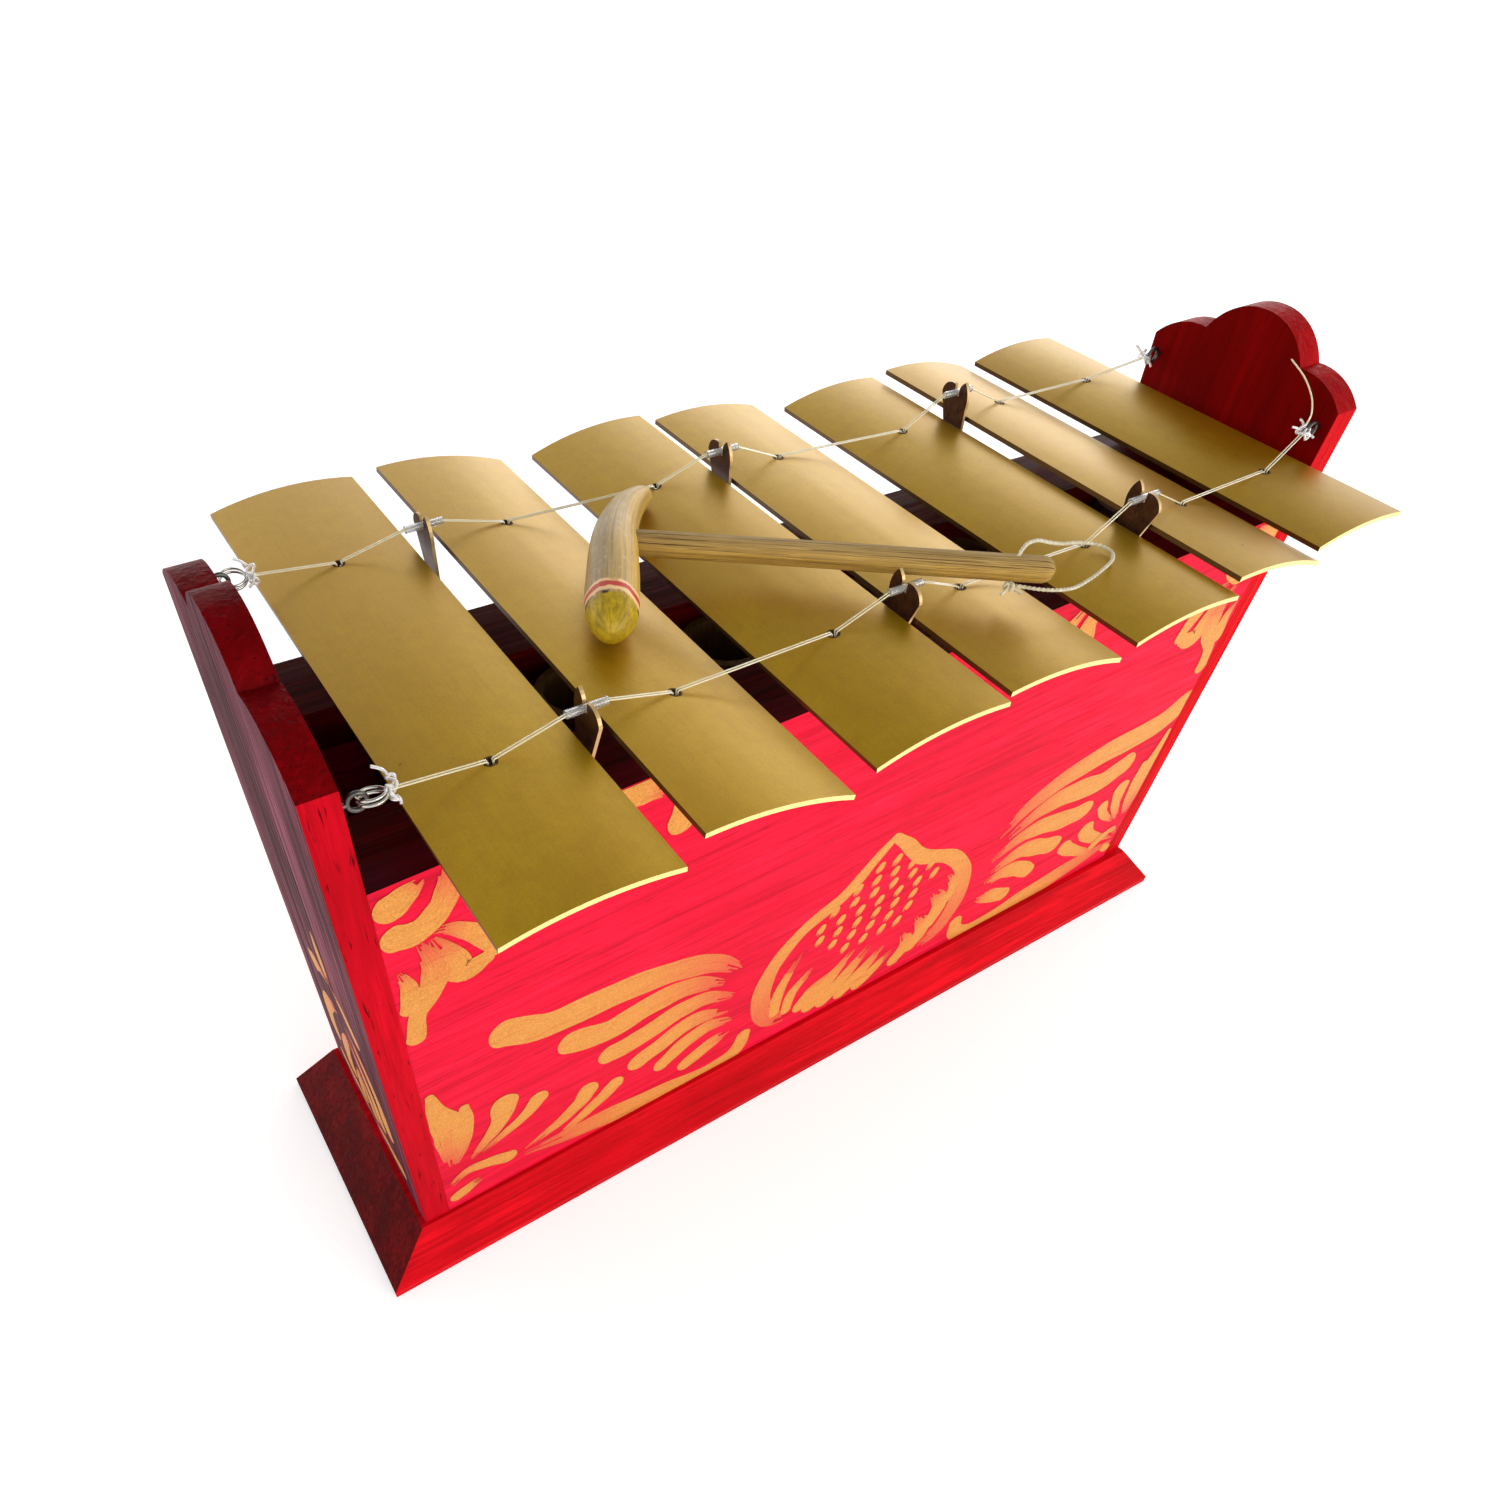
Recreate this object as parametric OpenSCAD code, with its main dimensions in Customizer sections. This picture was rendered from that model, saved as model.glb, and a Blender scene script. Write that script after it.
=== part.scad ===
// Seven-key hanging metallophone: a tapered, flared wooden trough with cloud-topped
// end boards, arched brass keys slung on two doubled cords between brass posts,
// bamboo resonators standing inside, and a horn-shaped beater lying on the keys.
// X runs along the row of keys from the longest to the shortest, Y runs to the back,
// Z is up, and the origin is the middle of the base board's underside.

/* [Base board] */
// Length of the base board
base_length = 636; // [620:2:660]
// Half depth of the base board at the long-key end
base_half_low = 86; // [84:1:92]
// Half depth of the base board at the short-key end
base_half_high = 65; // [63:1:70]
// Height of the base board
base_height = 36; // [30:1:38]
// Height of the upright edge below the slope
base_edge = 5; // [4:1:8]

/* [Trough] */
// Length over the end boards
trough_length = 575; // [571:1:577]
// Thickness of the end boards and walls
board_t = 15; // [14:0.5:15]
// Half depth at the foot of the long-key end
foot_half_low = 70; // [68:1:71]
// Half depth at the foot of the short-key end
foot_half_high = 49; // [48:1:50]
// How far the walls lean out between foot and shoulder
flare = 12; // [11:0.5:13]
// Height of the long walls' top edge
wall_top = 309; // [305:1:311]
// Depth of the rail behind each wall's top edge
rail_depth = 28; // [26:1:30]
// Height of that rail
rail_height = 20; // [16:1:24]

/* [End boards] */
// Height of the shoulder at the corner
shoulder_z = 362; // [360:1:364]
// Height of the notch between the lobes
notch_z = 374; // [372:1:376]
// Half width of the middle lobe at the notch
lobe_half = 31; // [29:1:33]
// Height of the middle lobe
crown_z = 392; // [389:1:395]

/* [Keys] */
// Thickness of a key
key_t = 2.2; // [2:0.1:2.4]
// Rise of the arch on the widest key
key_arch = 3.8; // [3.4:0.1:4.4]
// Width of the longest key
key_w_low = 71; // [69:0.5:72]
// Width of the shortest key
key_w_high = 59.5; // [58:0.5:60.5]
// Half length of the longest key
key_half_low = 156.5; // [154:0.5:159]
// Half length of the shortest key
key_half_high = 121.5; // [119:0.5:124]
// Radius of a cord hole
hole_r = 2.2; // [2.1:0.1:2.4]
// Distance of the cord line from the middle at the longest key
line_low = 77.5; // [77:0.1:78]
// Distance of the cord line from the middle at the shortest key
line_high = 62.5; // [62:0.1:63]

/* [Cords and posts] */
// Radius of one cord strand
strand_r = 0.4; // [0.35:0.05:0.45]
// Height of the cord line where it rests in a post
saddle_z = 356; // [355:0.5:357]
// Thickness of a post
post_t = 1.6; // [1.4:0.1:1.8]
// Outer radius of the clear sleeve in a post
sleeve_r = 1.7; // [1.65:0.05:1.75]
// Length of that sleeve
sleeve_l = 18; // [16:1:20]

/* [Resonators] */
// Outer radius of a bamboo tube
tube_r = 22; // [20:0.5:23]
// Wall of a bamboo tube
tube_wall = 4; // [3:0.5:5]
// Height of the tubes' mouths
tube_top = 300; // [290:1:302]
// Gap between a tube and the rail hollowed for it
tube_gap = 0.5; // [0.3:0.1:1]
// Air column under the longest key
column_low = 236; // [220:2:240]
// Air column under the shortest key
column_high = 110; // [100:2:130]

/* [Beater] */
// Radius of the handle
handle_r = 5.7; // [5.4:0.1:5.7]
// Radius of the twine
twine_r = 0.8; // [0.7:0.05:0.9]

/* [Hidden] */

FRONT = -1;
BACK = 1;
STAIN = "#b81426";
BAMBOO = "#c9a765";
METAL = "#c8c8cc";

// Middle of each key, its height at the long edges, and its roll about its length.
// Neighbours lean towards the post between them, because the cord pulls that side up.
key_x = [-216, -136, -55.5, 15.5, 96, 162, 226.5];
key_z = [344.5, 344, 343, 342, 338.8, 341, 341];
key_roll = [1, -10, 5.7, -4.9, 3.7, -8.8, 2.4];
post_x = [-175, -18.6, 129.6];
last = len(key_x) - 1;

end_x = trough_length / 2;
inner_x = end_x - board_t;
foot_mid = (foot_half_low + foot_half_high) / 2;
taper = atan((foot_half_low - foot_half_high) / trough_length);
tilt = atan(flare / (shoulder_z - base_height));

anchor_z = 353;
// How far inside the cord line the ends at the short keys are fixed
end_inset = 7; // [5:1:8]
eye_gap = 5.5;
eye_r = 3.6;
eye_wire = 1;
ring_r = 5.6;
ring_wire = 0.75;
strand_gap = 0.65;
tube_y = 4;
peg_r = 1;
peg_half = 8;
saddle_w = 3.5;

function blend(a, b, t) = a + (b - a) * t;
function key_t_at(i) = (key_x[i] - key_x[0]) / (key_x[last] - key_x[0]);
// Widths fall faster among the long keys than among the short ones.
function key_width(i) = blend(key_w_low, key_w_high, pow(key_t_at(i), 0.7));
function key_half(i) = blend(key_half_low, key_half_high, key_t_at(i));
function key_rise(i) = key_arch * key_width(i) / key_w_low;
// Distance of the cord line from the middle at any place along the trough.
function line_y(x) = blend(line_low, line_high, (x - key_x[0]) / (key_x[last] - key_x[0]));
// Height of a key's top surface at its hole.
function crown(i) = key_z[i] + key_rise(i) * cos(key_roll[i]);
function hole_x(i) = key_x[i] - key_rise(i) * sin(key_roll[i]);

// A tube of n sides swept along a route, one ring at each point of the route.
function unit(v) = v / norm(v);
function heading(p, i) = unit(p[min(i + 1, len(p) - 1)] - p[max(i - 1, 0)]);
function side(d) = abs(d.z) < 0.95 ? unit(cross([0, 0, 1], d)) : [0, 1, 0];
function ring(c, d, r, n) =
    let (u = unit(side(d) - d * (side(d) * d)), v = cross(d, u))
    [for (k = [0 : n - 1]) c + r * (cos(360 * k / n) * u + sin(360 * k / n) * v)];
function skin(m, n) = concat(
    [[for (k = [n - 1 : -1 : 0]) k]],
    [for (i = [0 : m - 2], k = [0 : n - 1])
        [i * n + k, i * n + (k + 1) % n, (i + 1) * n + (k + 1) % n, (i + 1) * n + k]],
    [[for (k = [0 : n - 1]) (m - 1) * n + k]]);
module sweep(p, r, n) {
    radius = [for (i = [0 : len(p) - 1]) is_list(r) ? r[i] : r];
    rings = [for (i = [0 : len(p) - 1]) each ring(p[i], heading(p, i), radius[i], n)];
    polyhedron(rings, skin(len(p), n), convexity = 6);
}
// Rings between the points of a hand-chosen route, on a smooth curve through them.
function smooth(p, i, t) = let (
    a = p[max(i - 1, 0)], b = p[i], c = p[i + 1], d = p[min(i + 2, len(p) - 1)])
    b + 0.5 * t * ((c - a) + t * ((2 * a - 5 * b + 4 * c - d) + t * (3 * b - a - 3 * c + d)));
function fine(p, n) = [for (i = [0 : len(p) - 2], k = [0 : n - 1]) smooth(p, i, k / n),
    p[len(p) - 1]];

// Points of an arc from p to q that bulges by h to its left.
function arc(p, q, h, n = 14) = let (
    c = norm(q - p), r = (c * c / 4 + h * h) / (2 * h), u = (q - p) / c,
    o = (p + q) / 2 + (r - h) * [u.y, -u.x], a = asin(c / 2 / r))
    [for (k = [0 : n]) let (w = a - 2 * a * k / n) o + r * (cos(w) * [-u.y, u.x] - sin(w) * u)];

// ---- Trough ----

// Slopes the top of the edge from p to q, whose inner side is on the left.
module base_edge_cut(p, q, run) {
    d = q - p;
    steep = (base_height - base_edge) / run;
    translate([p.x, p.y, 0]) rotate([0, 0, atan2(d.y, d.x)]) rotate([90, 0, 90])
        translate([0, 0, -60]) linear_extrude(norm(d) + 120)
            polygon([[-2, base_edge - 2 * steep], [run + 1, base_height + steep],
                [-2, base_height + steep]]);
}

module base_board() {
    h = base_length / 2;
    corner = [[-h, -base_half_low], [h, -base_half_high], [h, base_half_high], [-h, base_half_low]];
    run = [13, h - end_x - 3, 13, h - end_x - 3];
    color(STAIN) difference() {
        linear_extrude(base_height) polygon(corner);
        for (i = [0 : 3]) base_edge_cut(corner[i], corner[(i + 1) % 4], run[i]);
        at_base_screws() cylinder(h = 6, r = 4.3, center = true, $fn = 48);
    }
}

module at_base_screws() {
    for (s = [-1, 1], y = [-1, 0, 1])
        translate([s * (end_x - board_t / 2), y * (s < 0 ? 48 : 32), 0]) children();
}

module base_screws() {
    color(METAL) at_base_screws() {
        translate([0, 0, 0.6]) cylinder(h = 2.4, r = 4, $fn = 48);
        cylinder(h = 70, r = 2, $fn = 32);
    }
}

// A long wall or rail: a slab of the given thickness whose outer face lies back by
// inset from the trough's outer face, cut level at z0 and z1 and square at the ends.
module slab(dir, inset, t, z0, z1) {
    intersection() {
        translate([-inner_x, -200, z0]) cube([2 * inner_x, 400, z1 - z0]);
        translate([0, dir * foot_mid, base_height]) rotate([-dir * tilt, 0, -dir * taper])
            translate([-400, dir > 0 ? -inset - t : inset, -100]) cube([800, t, 500]);
    }
}

module wall(dir) {
    color(STAIN) slab(dir, 0, board_t, base_height, wall_top);
}

// A rail, hollowed where it passes a resonator.
module rail(dir) {
    color(STAIN) difference() {
        slab(dir, board_t, rail_depth, wall_top - rail_height, wall_top);
        for (x = key_x) translate([x, tube_y, 0])
            cylinder(h = wall_top + 1, r = tube_r + tube_gap, $fn = 72);
    }
}

// Outline of an end board: flared sides, a rounded shoulder lobe and a taller middle lobe.
module end_outline(foot) {
    s = foot + flare;
    half = concat(
        arc([s, shoulder_z], [lobe_half, notch_z], -0.13 * (s - lobe_half)),
        arc([lobe_half, notch_z], [0, crown_z], -5));
    right = [for (p = half) p];
    left = [for (i = [len(half) - 2 : -1 : 0]) [-half[i].x, half[i].y]];
    polygon(concat([[-foot, base_height], [foot, base_height]], right, left));
}

module end_board(dir, foot) {
    color(STAIN) translate([dir > 0 ? inner_x : -end_x, 0, 0]) rotate([90, 0, 90])
        linear_extrude(board_t) end_outline(foot);
}

// ---- Resonators ----

module resonator(i) {
    floor_z = tube_top - blend(column_low, column_high, i / last);
    color(BAMBOO) translate([key_x[i], tube_y, 0]) difference() {
        translate([0, 0, base_height]) cylinder(h = tube_top - base_height, r = tube_r, $fn = 72);
        translate([0, 0, floor_z]) cylinder(h = 400, r = tube_r - tube_wall, $fn = 72);
        translate([0, 0, base_height - 1]) cylinder(h = floor_z - base_height - 4,
            r = tube_r - tube_wall, $fn = 72);
    }
}

// ---- Keys ----

// Places a key's own frame: origin on the line between its long edges.
module key_frame(i) {
    translate([key_x[i], 0, key_z[i]]) rotate([0, key_roll[i] * -1, 0]) children();
}

module key(i) {
    w = key_width(i);
    rise = key_rise(i);
    r = (w * w / 4 + rise * rise) / (2 * rise);
    color("#c3a15a") key_frame(i) difference() {
        rotate([90, 0, 0]) linear_extrude(2 * key_half(i), center = true) intersection() {
            translate([0, rise - r]) difference() {
                circle(r, $fn = 240);
                circle(r - key_t, $fn = 240);
            }
            translate([-w / 2, -4]) square([w, rise + 5]);
        }
        for (dir = [FRONT, BACK]) translate([0, dir * line_y(key_x[i]), 0])
            cylinder(h = 40, r = hole_r, center = true, $fn = 40);
    }
}

module key_pegs(i) {
    color(BAMBOO) key_frame(i) for (dir = [FRONT, BACK])
        translate([0, dir * line_y(key_x[i]), key_rise(i) - key_t - peg_r])
            rotate([90, 0, 0]) cylinder(h = 2 * peg_half, r = peg_r, center = true, $fn = 24);
}

// ---- Posts ----

// A post seen along the row: across is towards the middle of the trough. Its tang
// stands in the wall and its outer prong hangs out over the wall's face.
module post_outline() {
    top = saddle_z - wall_top;
    w = saddle_w / 2;
    low = top - sleeve_r;
    polygon(concat([[2.8, -12], [9.5, -12], [9.5, 6]],
        arc([8.6, top - 6], [5, top + 6.4], -1.6, 6), arc([5, top + 6.4], [w, top + 2.5], -0.4, 3),
        [[w, low], [-w, low]],
        arc([-w, top + 3.2], [-10.8, top - 2.6], -2.6, 9), [[2.8, 9]]));
}

module post(dir, i) {
    color("#8c6f3a") translate([post_x[i] - post_t / 2, dir * line_y(post_x[i]), wall_top])
        mirror([0, dir > 0 ? 1 : 0, 0]) rotate([90, 0, 90]) linear_extrude(post_t) post_outline();
}

module sleeves(dir) {
    color("#e8eef2") for (x = post_x) translate([x, dir * line_y(x), saddle_z]) rotate([0, 90, 0])
        difference() {
            cylinder(h = sleeve_l, r = sleeve_r, center = true, $fn = 32);
            cylinder(h = sleeve_l + 1, r = strand_gap + strand_r + 0.03, center = true, $fn = 32);
        }
}

// ---- Cords and their ends ----

function end_y(x, end) = line_y(x) - (end > 0 ? end_inset : 0);
function anchor(dir, end) = [end * (inner_x - eye_gap), dir * end_y(end * inner_x, end), anchor_z];
function knot_x(end) = end < 0 ? -inner_x + eye_gap + ring_r + 6.4 : inner_x - eye_gap - 6.4;

module torus(r, wire) {
    rotate_extrude($fn = 48) translate([r, 0]) circle(wire, $fn = 16);
}

module screw_eyes() {
    color(METAL) for (dir = [FRONT, BACK], end = [-1, 1]) translate(anchor(dir, end)) {
        rotate([90, 0, 0]) torus(eye_r, eye_wire);
        rotate([0, end * 90, 0]) translate([0, 0, eye_r]) cylinder(h = 12, r = eye_wire, $fn = 24);
    }
}

module split_rings() {
    color(METAL) for (dir = [FRONT, BACK])
        translate(anchor(dir, -1) + [ring_r, 0, 0]) rotate([dir * 14, 0, 0])
            for (s = [-1, 1]) translate([0, 0, s * ring_wire * 0.9]) torus(ring_r, ring_wire);
}

// Each strand leaves one knot, dives through every key's hole and under its peg,
// and passes through the sleeves on the posts.
function dive(i, dir, y) = let (x = hole_x(i), z = crown(i), d = peg_r + strand_r + 0.15,
    s = sin(key_roll[i]), px = x + (key_t + peg_r) * s, pz = z - key_t - peg_r)
    [[x - 1.15, y, z + 0.7], [px - d, y, pz], [px - 0.8, y, pz - d],
     [px + 0.8, y, pz - d], [px + d, y, pz], [x + 1.15, y, z + 0.7]];
function rest(j, dir, y) = [[post_x[j] - sleeve_l / 2, y, saddle_z], [post_x[j], y, saddle_z],
    [post_x[j] + sleeve_l / 2, y, saddle_z]];
function strand(dir, off) = let (y = function(x) dir * line_y(x) + off)
    concat([[knot_x(-1), y(knot_x(-1)), anchor_z]],
        dive(0, dir, y(key_x[0])), rest(0, dir, y(post_x[0])),
        dive(1, dir, y(key_x[1])), dive(2, dir, y(key_x[2])), rest(1, dir, y(post_x[1])),
        dive(3, dir, y(key_x[3])), dive(4, dir, y(key_x[4])), rest(2, dir, y(post_x[2])),
        dive(5, dir, y(key_x[5])), dive(6, dir, y(key_x[6])),
        [[knot_x(1), dir * end_y(knot_x(1), 1) + off, anchor_z]]);

module cord(dir) {
    color("#f2f4f6") for (off = [-strand_gap, strand_gap]) sweep(strand(dir, off), strand_r, 8);
}

module knot(dir, end) {
    color("#f2f4f6") translate([knot_x(end), dir * end_y(knot_x(end), end), anchor_z]) {
        rotate([0, 90, 0]) cylinder(h = 6, r = 2.6, center = true, $fn = 32);
        for (x = [-2, 0, 2]) translate([x, 0, 0]) rotate([0, 90, 0]) torus(2.6, strand_r);
        translate([end * 3, 0, 0]) rotate([0, end * 90, 0]) cylinder(h = end < 0 ? 2.3 : 1.5,
            r = 1, $fn = 16);
    }
}

tail_route = [[262, -53, 356.3], [264, -52, 361], [266, -47, 367], [267.5, -38, 373],
    [267.5, -27, 378]];
module cord_tail() {
    color("#f2f4f6") sweep(fine(tail_route, 4), strand_r, 8);
}

// ---- Beater ----

head_axis = [[-147, -44.5, 359.2], [-145.8, -42.5, 359.3], [-142, -36.5, 359.6],
    [-137, -28, 359.9], [-126, -9.5, 360.2], [-117, 6, 360.2], [-105, 24, 359.2],
    [-90, 42, 356.4], [-77, 55, 352.4], [-69, 61.5, 349.8], [-67, 63, 349.2]];
head_size = [2.5, 5.6, 9.4, 11.3, 11.5, 11, 9.6, 7.8, 6, 4.4, 2];
module beater_head() {
    color(BAMBOO) sweep(fine(head_axis, 3),
        [for (i = [0 : len(head_size) - 2], k = [0 : 2]) blend(head_size[i], head_size[i + 1], k / 3),
            head_size[len(head_size) - 1]], 28);
}

handle_start = [-111, 19, 358.6];
handle_end = [34, -95, 361.4];
twine_spot = [25.2, -88.1, 361.2];
module beater_handle() {
    d = handle_end - handle_start;
    color(BAMBOO) difference() {
        translate(handle_start) rotate([0, acos(d.z / norm(d)), atan2(d.y, d.x)]) {
            cylinder(h = norm(d), r = handle_r, $fn = 48);
            translate([0, 0, norm(d)]) sphere(handle_r, $fn = 48);
        }
        translate(twine_spot) cylinder(h = 30, r = twine_r + 0.4, center = true, $fn = 24);
    }
}

module beater_knot() {
    color("#d9cda8") translate(twine_spot + [0, 0, -handle_r - 2.6]) sphere(2.3, $fn = 32);
}

// The twine rises from the knot through the handle, loops out over the keys and
// comes back under the handle's end to the same knot.
loop_route = [[25.2, -88.1, 354.6], [25.2, -88.1, 362], [25.6, -88, 366.5], [32, -85, 368.2],
    [46, -79, 363.5], [60, -74, 356.5], [74, -70.5, 350.3], [87, -69.5, 346.8], [96, -72.5, 345],
    [99, -79, 344.3], [94, -85.5, 344.7], [82, -91, 346.2], [66, -97, 348.6], [50, -101, 351],
    [37, -98, 352.6], [27.4, -89.6, 353]];
module beater_loop() {
    color("#d9cda8") sweep(fine(loop_route, 4), twine_r, 8);
}

base_board();
base_screws();
wall(FRONT);  // front_wall
wall(BACK);  // back_wall
end_board(-1, foot_half_low);  // left_end_board
end_board(1, foot_half_high);  // right_end_board
rail(FRONT);  // front_rail
rail(BACK);  // back_rail
for (i = [0 : last]) {
    resonator(i);
    key(i);
    key_pegs(i);
}
for (i = [0 : 2]) {
    post(FRONT, i);
    post(BACK, i);
}
sleeves(FRONT);  // front_sleeves
sleeves(BACK);  // back_sleeves
screw_eyes();
split_rings();
cord(FRONT);  // front_cord
cord(BACK);  // back_cord
knot(FRONT, -1);  // front_left_knot
knot(FRONT, 1);  // front_right_knot
knot(BACK, -1);  // back_left_knot
knot(BACK, 1);  // back_right_knot
cord_tail();
beater_head();
beater_handle();
beater_knot();
beater_loop();
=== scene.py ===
"""Hanging metallophone: stained and painted trough, brass keys on nylon cords, and its beater."""
import math
import random

import bpy
from mathutils import Matrix, Vector


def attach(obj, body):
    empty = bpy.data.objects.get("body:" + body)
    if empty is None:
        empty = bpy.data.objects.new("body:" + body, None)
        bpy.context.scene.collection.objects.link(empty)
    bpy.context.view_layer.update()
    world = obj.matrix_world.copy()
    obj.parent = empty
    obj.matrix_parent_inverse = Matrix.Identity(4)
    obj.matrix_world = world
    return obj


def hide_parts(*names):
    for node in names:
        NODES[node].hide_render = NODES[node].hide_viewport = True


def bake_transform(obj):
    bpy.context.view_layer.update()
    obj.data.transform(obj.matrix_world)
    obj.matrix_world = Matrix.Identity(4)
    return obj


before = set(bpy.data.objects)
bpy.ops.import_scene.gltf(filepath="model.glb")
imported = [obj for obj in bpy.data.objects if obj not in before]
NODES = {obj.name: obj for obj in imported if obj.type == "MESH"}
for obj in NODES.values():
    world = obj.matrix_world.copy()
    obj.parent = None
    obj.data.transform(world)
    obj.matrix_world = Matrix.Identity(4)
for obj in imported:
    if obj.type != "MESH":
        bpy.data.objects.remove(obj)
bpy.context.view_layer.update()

MM = 0.001
KEYS = range(7)
FRONT, BACK = -1, 1
SIDES = {FRONT: "front", BACK: "back"}
LEFT, RIGHT = -1, 1
ENDS = {LEFT: "left", RIGHT: "right"}

# The frame's own sizes, in millimetres.
BASE_Z = 36
WALL_TOP = 309
INNER_X = 272.5
END_X = 287.5
FOOT_MID = 59.5
TAPER = 21 / 575
TILT = 12 / 326
KEY_X = [-216, -136, -55.5, 15.5, 96, 162, 226.5]
KEY_Z = [344.5, 344, 343, 342, 338.8, 341, 341]
KEY_ROLL = [1, -10, 5.7, -4.9, 3.7, -8.8, 2.4]
KEY_T = 2.2
KEY_ARCH = 3.8
KEY_W_LOW, KEY_W_HIGH = 71, 59.5
LINE_LOW, LINE_HIGH = 77.5, 62.5
POST_X = [-175, -18.6, 129.6]
SADDLE_Z = 356
SLEEVE_L = 18
ANCHOR_Z = 353
STRAND_R = 0.4
STRAND_DRAWN = 0.31  # drawn a little thinner than its CAD part, so that the pair reads as two lines
STRAND_GAP = 0.65
HOLE_R = 2.2
HOLE_OFF = 1.15  # how far from a hole's middle a strand goes in or out
HOLE_UP = 0.7  # its height over the key there
PEG_R = 1
KNOT_X = {LEFT: -255, RIGHT: 260.6}
END_INSET = {LEFT: 0, RIGHT: 7}
RING_X = -261.4
RING_R = 5.6
RING_WIRE = 0.75


def line_y(x):
    """Distance of the cord line from the middle."""
    return LINE_LOW - (LINE_LOW - LINE_HIGH) * (x - KEY_X[0]) / (KEY_X[-1] - KEY_X[0])


def knot_y(end):
    """Distance of a cord's end knot from the middle."""
    return line_y(KNOT_X[end]) - END_INSET[end]


def key_rise(i):
    """How far the middle of key i stands above its long edges."""
    along = (KEY_X[i] - KEY_X[0]) / (KEY_X[-1] - KEY_X[0])
    return KEY_ARCH * (KEY_W_LOW - (KEY_W_LOW - KEY_W_HIGH) * along ** 0.7) / KEY_W_LOW


def crown(i):
    """Height of the cord holes in the top of key i."""
    return KEY_Z[i] + key_rise(i) * math.cos(math.radians(KEY_ROLL[i]))


def hole_x(i):
    """Place of those holes along the row."""
    return KEY_X[i] - key_rise(i) * math.sin(math.radians(KEY_ROLL[i]))


def metres(p):
    return Vector(p) * MM


# ---- Camera ----


def make_camera():
    data = bpy.data.cameras.new("camera")
    data.sensor_width = 36
    data.lens = 25.704
    data.shift_x = 0.06938
    data.shift_y = 0.15018
    data.clip_start = 0.02
    data.dof.use_dof = False
    cam = bpy.data.objects.new("camera", data)
    cam.location = (-0.32633, -0.36845, 0.60252)
    cam.rotation_euler = [math.radians(a) for a in (39.1113, -0.7238, -30.6655)]
    bpy.context.scene.collection.objects.link(cam)
    bpy.context.scene.camera = cam


# ---- Mesh helpers ----


def add_piece(name, shape, material, body=None):
    """A mesh piece. shape is (verts, faces) or (verts, faces, uvs), with the vertices in
    millimetres and a uv pair for each vertex."""
    verts, faces, *uvs = shape
    mesh = bpy.data.meshes.new(name)
    mesh.from_pydata([metres(v) for v in verts], [], faces)
    if uvs:
        layer = mesh.uv_layers.new(name="UVMap")
        for loop in mesh.loops:
            layer.data[loop.index].uv = uvs[0][loop.vertex_index]
    mesh.shade_smooth()
    mesh.materials.append(material)
    mesh.update()
    obj = bpy.data.objects.new(name, mesh)
    bpy.context.scene.collection.objects.link(obj)
    if body:
        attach(obj, body)
    return obj


def catmull(p, steps):
    """Points on a smooth curve through the points p, which may hold any number of values."""
    out = []
    for i in range(len(p) - 1):
        a, b, c, d = p[max(i - 1, 0)], p[i], p[i + 1], p[min(i + 2, len(p) - 1)]
        for k in range(steps):
            t = k / steps
            out.append([
                y + 0.5 * t * ((z - x) + t * ((2 * x - 5 * y + 4 * z - w) + t * (3 * y - x - 3 * z + w)))
                for x, y, z, w in zip(a, b, c, d)])
    return out + [list(p[-1])]


def frames(path, up=(0, 0, 1)):
    """A side and an up direction at each point of the path, carried along it without twist."""
    pts = [Vector(p) for p in path]
    out = []
    ref = Vector(up)
    for i in range(len(pts)):
        d = (pts[min(i + 1, len(pts) - 1)] - pts[max(i - 1, 0)]).normalized()
        if abs(d.dot(ref)) > 0.995:
            ref = ref.orthogonal()
        ref = (ref - d * ref.dot(d)).normalized()
        out.append((d.cross(ref), ref.copy()))
    return out


def runs(path):
    """Distance along the path at each of its points."""
    out = [0.0]
    for a, b in zip(path, path[1:]):
        out.append(out[-1] + (Vector(b) - Vector(a)).length)
    return out


def sweep(path, outline, up=(0, 0, 1), closed=False, ends=True):
    """Vertices, faces and uvs of a tube. outline(i) gives the section's points (side, up)."""
    verts, uvs = [], []
    n = len(outline(0))
    for i, (p, run, (s, u)) in enumerate(zip(path, runs(path), frames(path, up))):
        for k, (a, b) in enumerate(outline(i)):
            verts.append(Vector(p) + s * a + u * b)
            uvs.append((run * MM, k / n))
    m = len(path)
    spans = m if closed else m - 1
    faces = [[i * n + k, i * n + (k + 1) % n, (i + 1) % m * n + (k + 1) % n, (i + 1) % m * n + k]
             for i in range(spans) for k in range(n)]
    if ends and not closed:
        faces += [list(range(n))[::-1], [(m - 1) * n + k for k in range(n)]]
    return verts, faces, uvs


def circle(r, n):
    return [(r * math.cos(2 * math.pi * k / n), r * math.sin(2 * math.pi * k / n)) for k in range(n)]


def join(parts):
    """Several (verts, faces, uvs) as one."""
    verts, faces, uvs = [], [], []
    for v, f, u in parts:
        faces += [[k + len(verts) for k in face] for face in f]
        verts += v
        uvs += u
    return verts, faces, uvs


# ---- Material helpers ----


def new_material(name):
    mat = bpy.data.materials.new(name)
    mat.use_nodes = True
    mat.node_tree.nodes.clear()
    return mat, mat.node_tree


def put(tree, kind, inputs=None, **props):
    """Adds a node. An input's value is a socket to link or a plain value to set."""
    made = tree.nodes.new("ShaderNode" + kind)
    for key, value in props.items():
        setattr(made, key, value)
    for key, value in (inputs or {}).items():
        if isinstance(value, bpy.types.NodeSocket):
            tree.links.new(value, made.inputs[key])
        else:
            made.inputs[key].default_value = value
    return made


def place(tree, scale=(1, 1, 1), offset=(0, 0, 0), source="Object"):
    coords = put(tree, "TexCoord").outputs[source]
    return put(tree, "Mapping", {"Vector": coords, "Scale": scale, "Location": offset}).outputs[0]


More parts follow.
